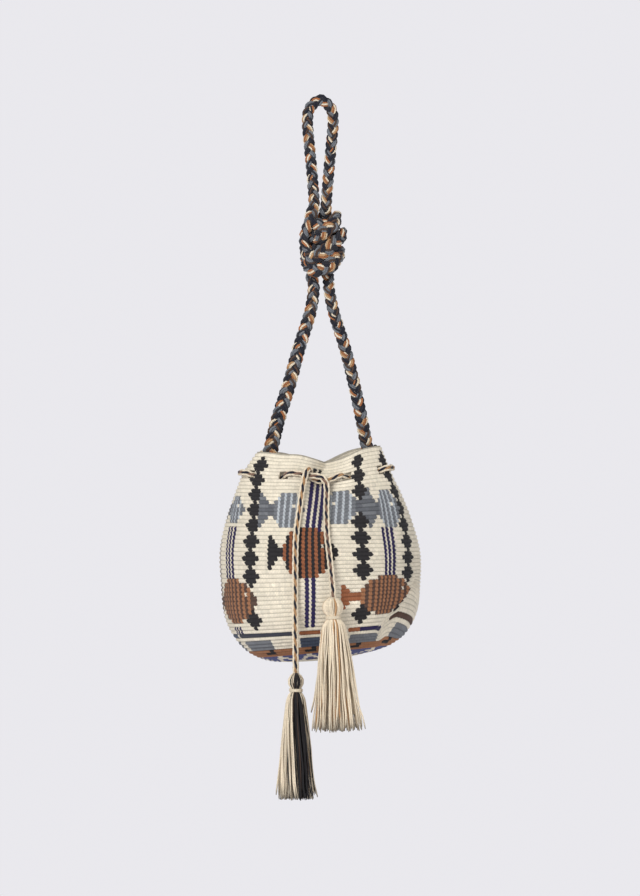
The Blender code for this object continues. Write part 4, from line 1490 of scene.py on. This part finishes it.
@dataclass
class Tassel:
    """One tassel: yarns folded over the cord's end, bound below the head, and hanging in a loose skirt."""

    name: str
    place: tuple[float, float, float]
    head: float
    neck: float
    skirt: float
    hem: float
    length: float
    lean: float
    seed: int
    outer_yarns: int = 52
    inner_yarns: int = 100
    yarn_radius: float = 0.0009
    neck_height: float = 0.0042
    binding_turns: int = 3
    binding_radius: float = 0.00085
    binding_stand: float = 0.0008
    binding_tuck: float = 0.0012
    split: float = 0.12
    fullness: float = 1.0
    flare: float = 0.9
    wave: float = 0.0007
    swirl: float = 0.0
    crown: float = 0.0030
    split_width: float = 0.09
    uneven_hem: float = 0.0035
    short_yarns: float = 0.06
    shortest: float = 0.022

    def colour(self, turn: float, rng: np.random.Generator) -> Array:
        """A yarn's colour by where round the tassel it hangs. Each kind of tassel has its own."""
        raise NotImplementedError

    def levels(self) -> tuple[float, float, float]:
        """Heights of the neck's top, the neck's foot and the hem, from the head's middle."""
        top = -self.head * 0.84
        return top, top - self.neck_height, self.head - self.length

    def placed(self, points: Array) -> Array:
        """The points turned by the tassel's lean and moved to its place."""
        cos, sin = math.cos(-self.lean), math.sin(-self.lean)
        turned = points @ np.array([[cos, 0.0, -sin], [0.0, 1.0, 0.0], [sin, 0.0, cos]])
        return turned + np.array(self.place)

    def head_line(self, turn: float) -> Array:
        """The way of an outer yarn over the head, as radius and height."""
        top, foot, _ = self.levels()
        squeeze = 1 - self.split * math.exp(-((math.sin(turn / 2) / self.split_width) ** 2))
        rows = [(self.crown, self.head)]
        for step in (68, 48, 28, 6, -16, -36):
            radius = (self.head * self.fullness - self.yarn_radius) * squeeze * math.cos(math.radians(step))
            rows.append((radius, (self.head - self.yarn_radius) * math.sin(math.radians(step))))
        rows += [(self.neck - self.yarn_radius, top), (self.neck - self.yarn_radius, foot)]
        return np.array(rows)

    def skirt_line(self, share: float, rng: np.random.Generator) -> Array:
        """A yarn's fall below the neck, as radius and height."""
        _, foot, hem = self.levels()
        uneven = abs(rng.normal(0.0, self.uneven_hem))
        end = hem + uneven + (rng.random() < self.short_yarns) * rng.random() * self.shortest
        downs = np.array([0.06, 0.18, 0.34, 0.52, 0.70, 0.86, 1.0])
        spread = self.skirt + (self.hem - self.skirt) * downs**self.flare
        belly = 0.0012 * np.sin(downs * math.pi * 1.5)
        radius = (spread - self.yarn_radius + belly) * share + rng.normal(0.0, self.wave, len(downs)).cumsum() * downs
        return np.column_stack([np.maximum(radius, 0.0), foot + (end - foot) * downs])

    def yarns(self) -> list[Yarn]:
        """Every yarn of the tassel."""
        rng = np.random.default_rng(self.seed)
        made = []
        golden = math.pi * (3 - math.sqrt(5))
        for number in range(self.outer_yarns + self.inner_yarns):
            outer = number < self.outer_yarns
            turn = 2 * math.pi * number / self.outer_yarns if outer else golden * number
            share = 0.97 if outer else 0.94 * math.sqrt((number - self.outer_yarns + 0.5) / self.inner_yarns)
            skirt = self.skirt_line(share, rng)
            if outer:
                rows = np.concatenate([self.head_line(turn), skirt])
            else:
                top, foot, _ = self.levels()
                radius = (self.neck - 2 * self.yarn_radius) * share
                rows = np.concatenate([[(radius, top), (radius, foot)], skirt])
            drift = turn + np.cumsum(rng.normal(0.0, 0.045, len(rows))) * np.linspace(0, 1, len(rows)) ** 0.5
            _, foot, hem = self.levels()
            drift = drift + self.swirl * np.clip((foot - rows[:, 1]) / (foot - hem), 0, 1)
            line = np.column_stack([rows[:, 0] * np.sin(drift), -rows[:, 0] * np.cos(drift), rows[:, 1]])
            smooth = even_line(self.placed(line), 0.0050)
            tone = self.tip_tones(len(smooth), rng)
            colour = self.colour(turn, rng)[None] * np.column_stack([tone, tone, tone, np.ones(len(smooth))])
            radius = self.yarn_radius * (1 + rng.normal(0.0, 0.08))
            made.append(Yarn(smooth, radius, colour, 5, np.array([math.sin(turn + 0.3), -math.cos(turn + 0.3), 0.02])))
        return made

    def tip_tones(self, count: int, rng: np.random.Generator) -> Array:
        """A yarn's shade along its length, darker at the cut tips."""
        run = np.linspace(0, 1, count)
        return (1 + rng.normal(0.0, 0.07)) * np.interp(run, [0, 0.90, 0.97, 1.0], [1.0, 1.0, 0.62, 0.3])

    def build(self, material: Material) -> Piece:
        """Hangs the tassel's yarns."""
        mesh = YarnMesh(self.name)
        for yarn in self.yarns():
            mesh.add(yarn)
        core = np.column_stack([np.zeros(7), np.zeros(7), np.linspace(self.head * 0.86, -self.head * 0.84, 7)])
        bulge = (self.head - 2.1 * self.yarn_radius) * np.sin(np.linspace(0.35, math.pi - 0.5, 7))
        mesh.add(Yarn(self.placed(core), bulge, self.colour(math.pi, np.random.default_rng(1)), 16))
        return mesh.build(material)

    def build_binding(self, material: Material, shade: Shade) -> Piece:
        """Winds the yarn round the neck."""
        top, foot, _ = self.levels()
        turns = np.linspace(0, 2 * math.pi * self.binding_turns, 28 * self.binding_turns + 1)
        share = turns / turns[-1]
        tucked = (share > 0.985) | (share < 0.015)
        radius = self.neck + self.binding_stand - self.binding_tuck * tucked
        height = top + (foot - top) * (0.12 + 0.76 * share)
        line = np.column_stack([radius * np.sin(turns + 2.4), -radius * np.cos(turns + 2.4), height])
        mesh = YarnMesh(self.name + "_wound_neck")
        mesh.add(Yarn(self.placed(line), self.binding_radius, shade.rgba(), 7, np.array([0.0, 0.0, 1.0])))
        return mesh.build(material)


@dataclass
class DarkTassel(Tassel):
    """The lower tassel: black in its middle, cream at both sides."""

    def colour(self, turn: float, rng: np.random.Generator) -> Array:
        """Cream at the sides, black and dark brown between them, with a few cream yarns over the black."""
        side = abs(math.sin(turn - 0.18)) + rng.normal(0.0, 0.13)
        if side > 0.60:
            return Shade.CREAM.rgba(1.16 + rng.normal(0.0, 0.06))
        pick = rng.random()
        if pick > 0.90:
            return Shade.CREAM.rgba(1.1)
        return (Shade.BLACK if pick < 0.80 else Shade.BROWN).rgba(1 + rng.normal(0.0, 0.1))


@dataclass
class CreamTassel(Tassel):
    """The upper tassel: cream, with some tan and grey yarns."""

    def colour(self, turn: float, rng: np.random.Generator) -> Array:
        """Mostly cream, and now and then tan, grey or dark."""
        pick = rng.random() * (0.92 if math.cos(turn) > 0.3 else 1.0)
        if pick < 0.86:
            return Shade.CREAM.rgba(1.18 + rng.normal(0.0, 0.05))
        if pick < 0.95:
            return Shade.TAN.rgba(1.4)
        return Shade.GREY.rgba(1.6) if pick < 0.99 else Shade.BLACK.rgba()


# The stage


@dataclass(frozen=True)
class Studio:
    """A pale floor, a pale world and soft lamps, with the camera at the photograph's angle."""

    scale: float = 0.0012
    middle: tuple[float, float] = (-0.00024, -0.4110)
    picture_height: int = 896
    sensor_height: float = 24.0
    distance: float = 7.0
    floor_height: float = -1.02
    pale: tuple[float, float, float] = (0.820, 0.812, 0.848)
    sky: tuple[float, float, float] = (0.86, 0.88, 0.92)
    sky_strength: float = 0.42
    fade_from: float = 0.35
    fade_to: float = 0.90

    def camera(self) -> None:
        """Sets the camera straight in front, so far off that the near tassels keep their place."""
        data = bpy.data.cameras.new("camera")
        data.sensor_fit = "VERTICAL"
        data.sensor_height = self.sensor_height
        data.lens = self.sensor_height * self.distance / (self.picture_height * self.scale)
        data.clip_end = 60.0
        camera = bpy.data.objects.new("camera", data)
        camera.location = (self.middle[0], -self.distance, self.middle[1])
        camera.rotation_euler = (math.pi / 2, 0.0, 0.0)
        bpy.context.scene.collection.objects.link(camera)
        bpy.context.scene.camera = camera

    def lamp(self, name: str, place: tuple[float, float, float], size: float, power: float) -> None:
        """Hangs one square lamp that looks at the bag."""
        data = bpy.data.lights.new(name, "AREA")
        data.size = size
        data.energy = power
        lamp = bpy.data.objects.new(name, data)
        lamp.location = place
        aim = Vector((0.0, 0.0, -0.5)) - Vector(place)
        lamp.rotation_euler = aim.to_track_quat("-Z", "Y").to_euler()
        bpy.context.scene.collection.objects.link(lamp)

    def world(self) -> None:
        """Gives the sky its pale colour, and the same colour to the camera and to reflections."""
        nodes = Nodes(bpy.data.worlds.new("pale_sky"))
        lit = nodes.tree.nodes["Background"]
        lit.inputs["Color"].default_value = (*self.sky, 1.0)
        lit.inputs["Strength"].default_value = self.sky_strength
        nodes.blend(nodes.watched(), lit, nodes.plain("ShaderNodeBackground", self.pale), "World Output")
        bpy.context.scene.world = nodes.owner

    def floor(self) -> None:
        """Lays the pale floor well below the hanging bag."""
        bm = bmesh.new()
        bmesh.ops.create_grid(bm, x_segments=1, y_segments=1, size=6.0)
        bmesh.ops.translate(bm, vec=(0.0, 0.0, self.floor_height), verts=bm.verts)
        mesh = bpy.data.meshes.new("floor")
        bm.to_mesh(mesh)
        bm.free()
        nodes = Nodes(bpy.data.materials.new("floor_paint"))
        place = nodes.place()
        tone = nodes.span(nodes.noise(place, 3.0), 0.3, 0.7, 0.985, 1.0)
        plain = nodes.node("ShaderNodeRGB")
        plain.outputs[0].default_value = (*self.pale, 1.0)
        nodes.put(nodes.tinted(plain.outputs[0], tone), nodes.shader.inputs["Base Color"])
        nodes.shader.inputs["Roughness"].default_value = 0.95
        self.fade(nodes, place)
        floor = finished("floor", mesh, nodes.owner)
        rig.stage(floor)

    def fade(self, nodes: Nodes, place: Socket) -> None:
        """Lets the floor pass into the sky's colour to the camera, well outside the bag's shadow.

        Args:
            nodes: The floor's material.
            place: The floor's own coordinates.
        """
        flat = nodes.node("ShaderNodeVectorMath", operation="MULTIPLY")
        nodes.put(place, flat.inputs[0])
        flat.inputs[1].default_value = (1.0, 1.0, 0.0)
        reach = nodes.node("ShaderNodeVectorMath", operation="LENGTH")
        nodes.put(flat.outputs[0], reach.inputs[0])
        far = nodes.span(reach.outputs["Value"], self.fade_from, self.fade_to, 0.0, 1.0)
        sky = nodes.plain("ShaderNodeEmission", self.pale)
        nodes.blend(nodes.math("MULTIPLY", far, nodes.watched()), nodes.shader, sky, "Material Output")

    def build(self) -> None:
        """Sets the whole stage."""
        self.camera()
        self.world()
        self.floor()
        self.lamp("key", (-1.6, -2.6, 0.9), 1.6, 84.0)
        self.lamp("fill", (2.2, -2.0, 0.2), 2.0, 30.0)
        self.lamp("back", (0.4, 2.4, 0.9), 1.8, 30.0)
        bpy.context.scene.view_settings.view_transform = "Standard"


def dress(piece: Piece, body: str, slot: str, *nodes: str) -> None:
    """Ties a finished piece to the frame.

    Args:
        piece: The piece.
        body: The body it moves with.
        slot: The record's material slot it takes its finish from.
        nodes: The CAD nodes it stands for.
    """
    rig.ride(piece, body)
    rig.slot(piece, slot)
    if nodes:
        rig.replaces(piece, *nodes)
    LOG.info("%s: %d faces, rides on %s", piece.name, len(piece.data.polygons), body)


def main() -> None:
    """Builds the stage and every piece of the bag, and ties them to the frame."""
    logging.basicConfig(level=logging.INFO, format="%(name)s: %(message)s")
    Studio().build()

    rope = YarnFinish("plied_yarn", twist=4.0).make()
    plait = PlaitedStrap()
    strap, strap_line = plait.build(rope)
    dress(strap, "body", "strap_braid", "strap")
    dress(plait.build_core(rope), "body", "strap_braid")
    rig.cord(
        strap, exit=strap_line[0], length=line_length(strap_line), diameter=STRAP_WIDTH,
        far_end="object", stiffness="limp", lay="hanging", path=strap_line[::3],
    )
    cord, cord_line = Drawstring().build(YarnFinish("braid_yarn", twist=9.0, depth=0.0003).make())
    dress(cord, "body", "drawstring_braid", "drawstring")
    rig.cord(
        cord, exit=cord_line[0], length=line_length(cord_line), diameter=CORD_WIDTH,
        far_end="object", stiffness="limp", lay="hanging", path=cord_line[::3],
    )
    bucket = CrochetBucket().build(CrochetFinish().make())
    dress(bucket, "body", "crochet_cotton", "bag_body")
    thread = YarnFinish("sewing_thread", twist=14.0, depth=0.0002).make()
    dress(WhipStitches().build(thread), "body", "strap_braid")

    soft = YarnFinish("tassel_yarn", twist=6.0, depth=0.0003).make()
    lower = DarkTassel(
        "tassel_left_yarns", (-0.0288, -0.1025, -0.6870), head=0.0098, neck=0.0066, skirt=0.0100, hem=0.0228,
        length=0.150, lean=0.0, seed=11, wave=0.0010, swirl=0.42,
    )
    dress(lower.build(soft), "left_tassel", "tassel_left_yarn", "tassel_left")
    dress(lower.build_binding(soft, Shade.CREAM), "left_tassel", "binding_yarn", "tassel_left_binding")
    upper = CreamTassel(
        "tassel_right_yarns", (0.0150, -0.1122, -0.5990), head=0.0118, neck=0.0078, skirt=0.0130, hem=0.0292,
        length=0.159, lean=math.radians(2.6), seed=23, split=0.30, flare=0.95, fullness=1.08, wave=0.0013,
    )
    dress(upper.build(soft), "right_tassel", "tassel_right_yarn", "tassel_right")
    dress(upper.build_binding(soft, Shade.CREAM), "right_tassel", "binding_yarn", "tassel_right_binding")

    low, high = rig.bounds()
    boxes = {"cad": [list(map(float, corner)) for corner in CAD_BOX], "visual": [list(low), list(high)]}
    with open("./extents.json", "w") as out:
        json.dump({name: [[float(x) for x in corner] for corner in box] for name, box in boxes.items()}, out)


if __name__ == "__main__":
    main()
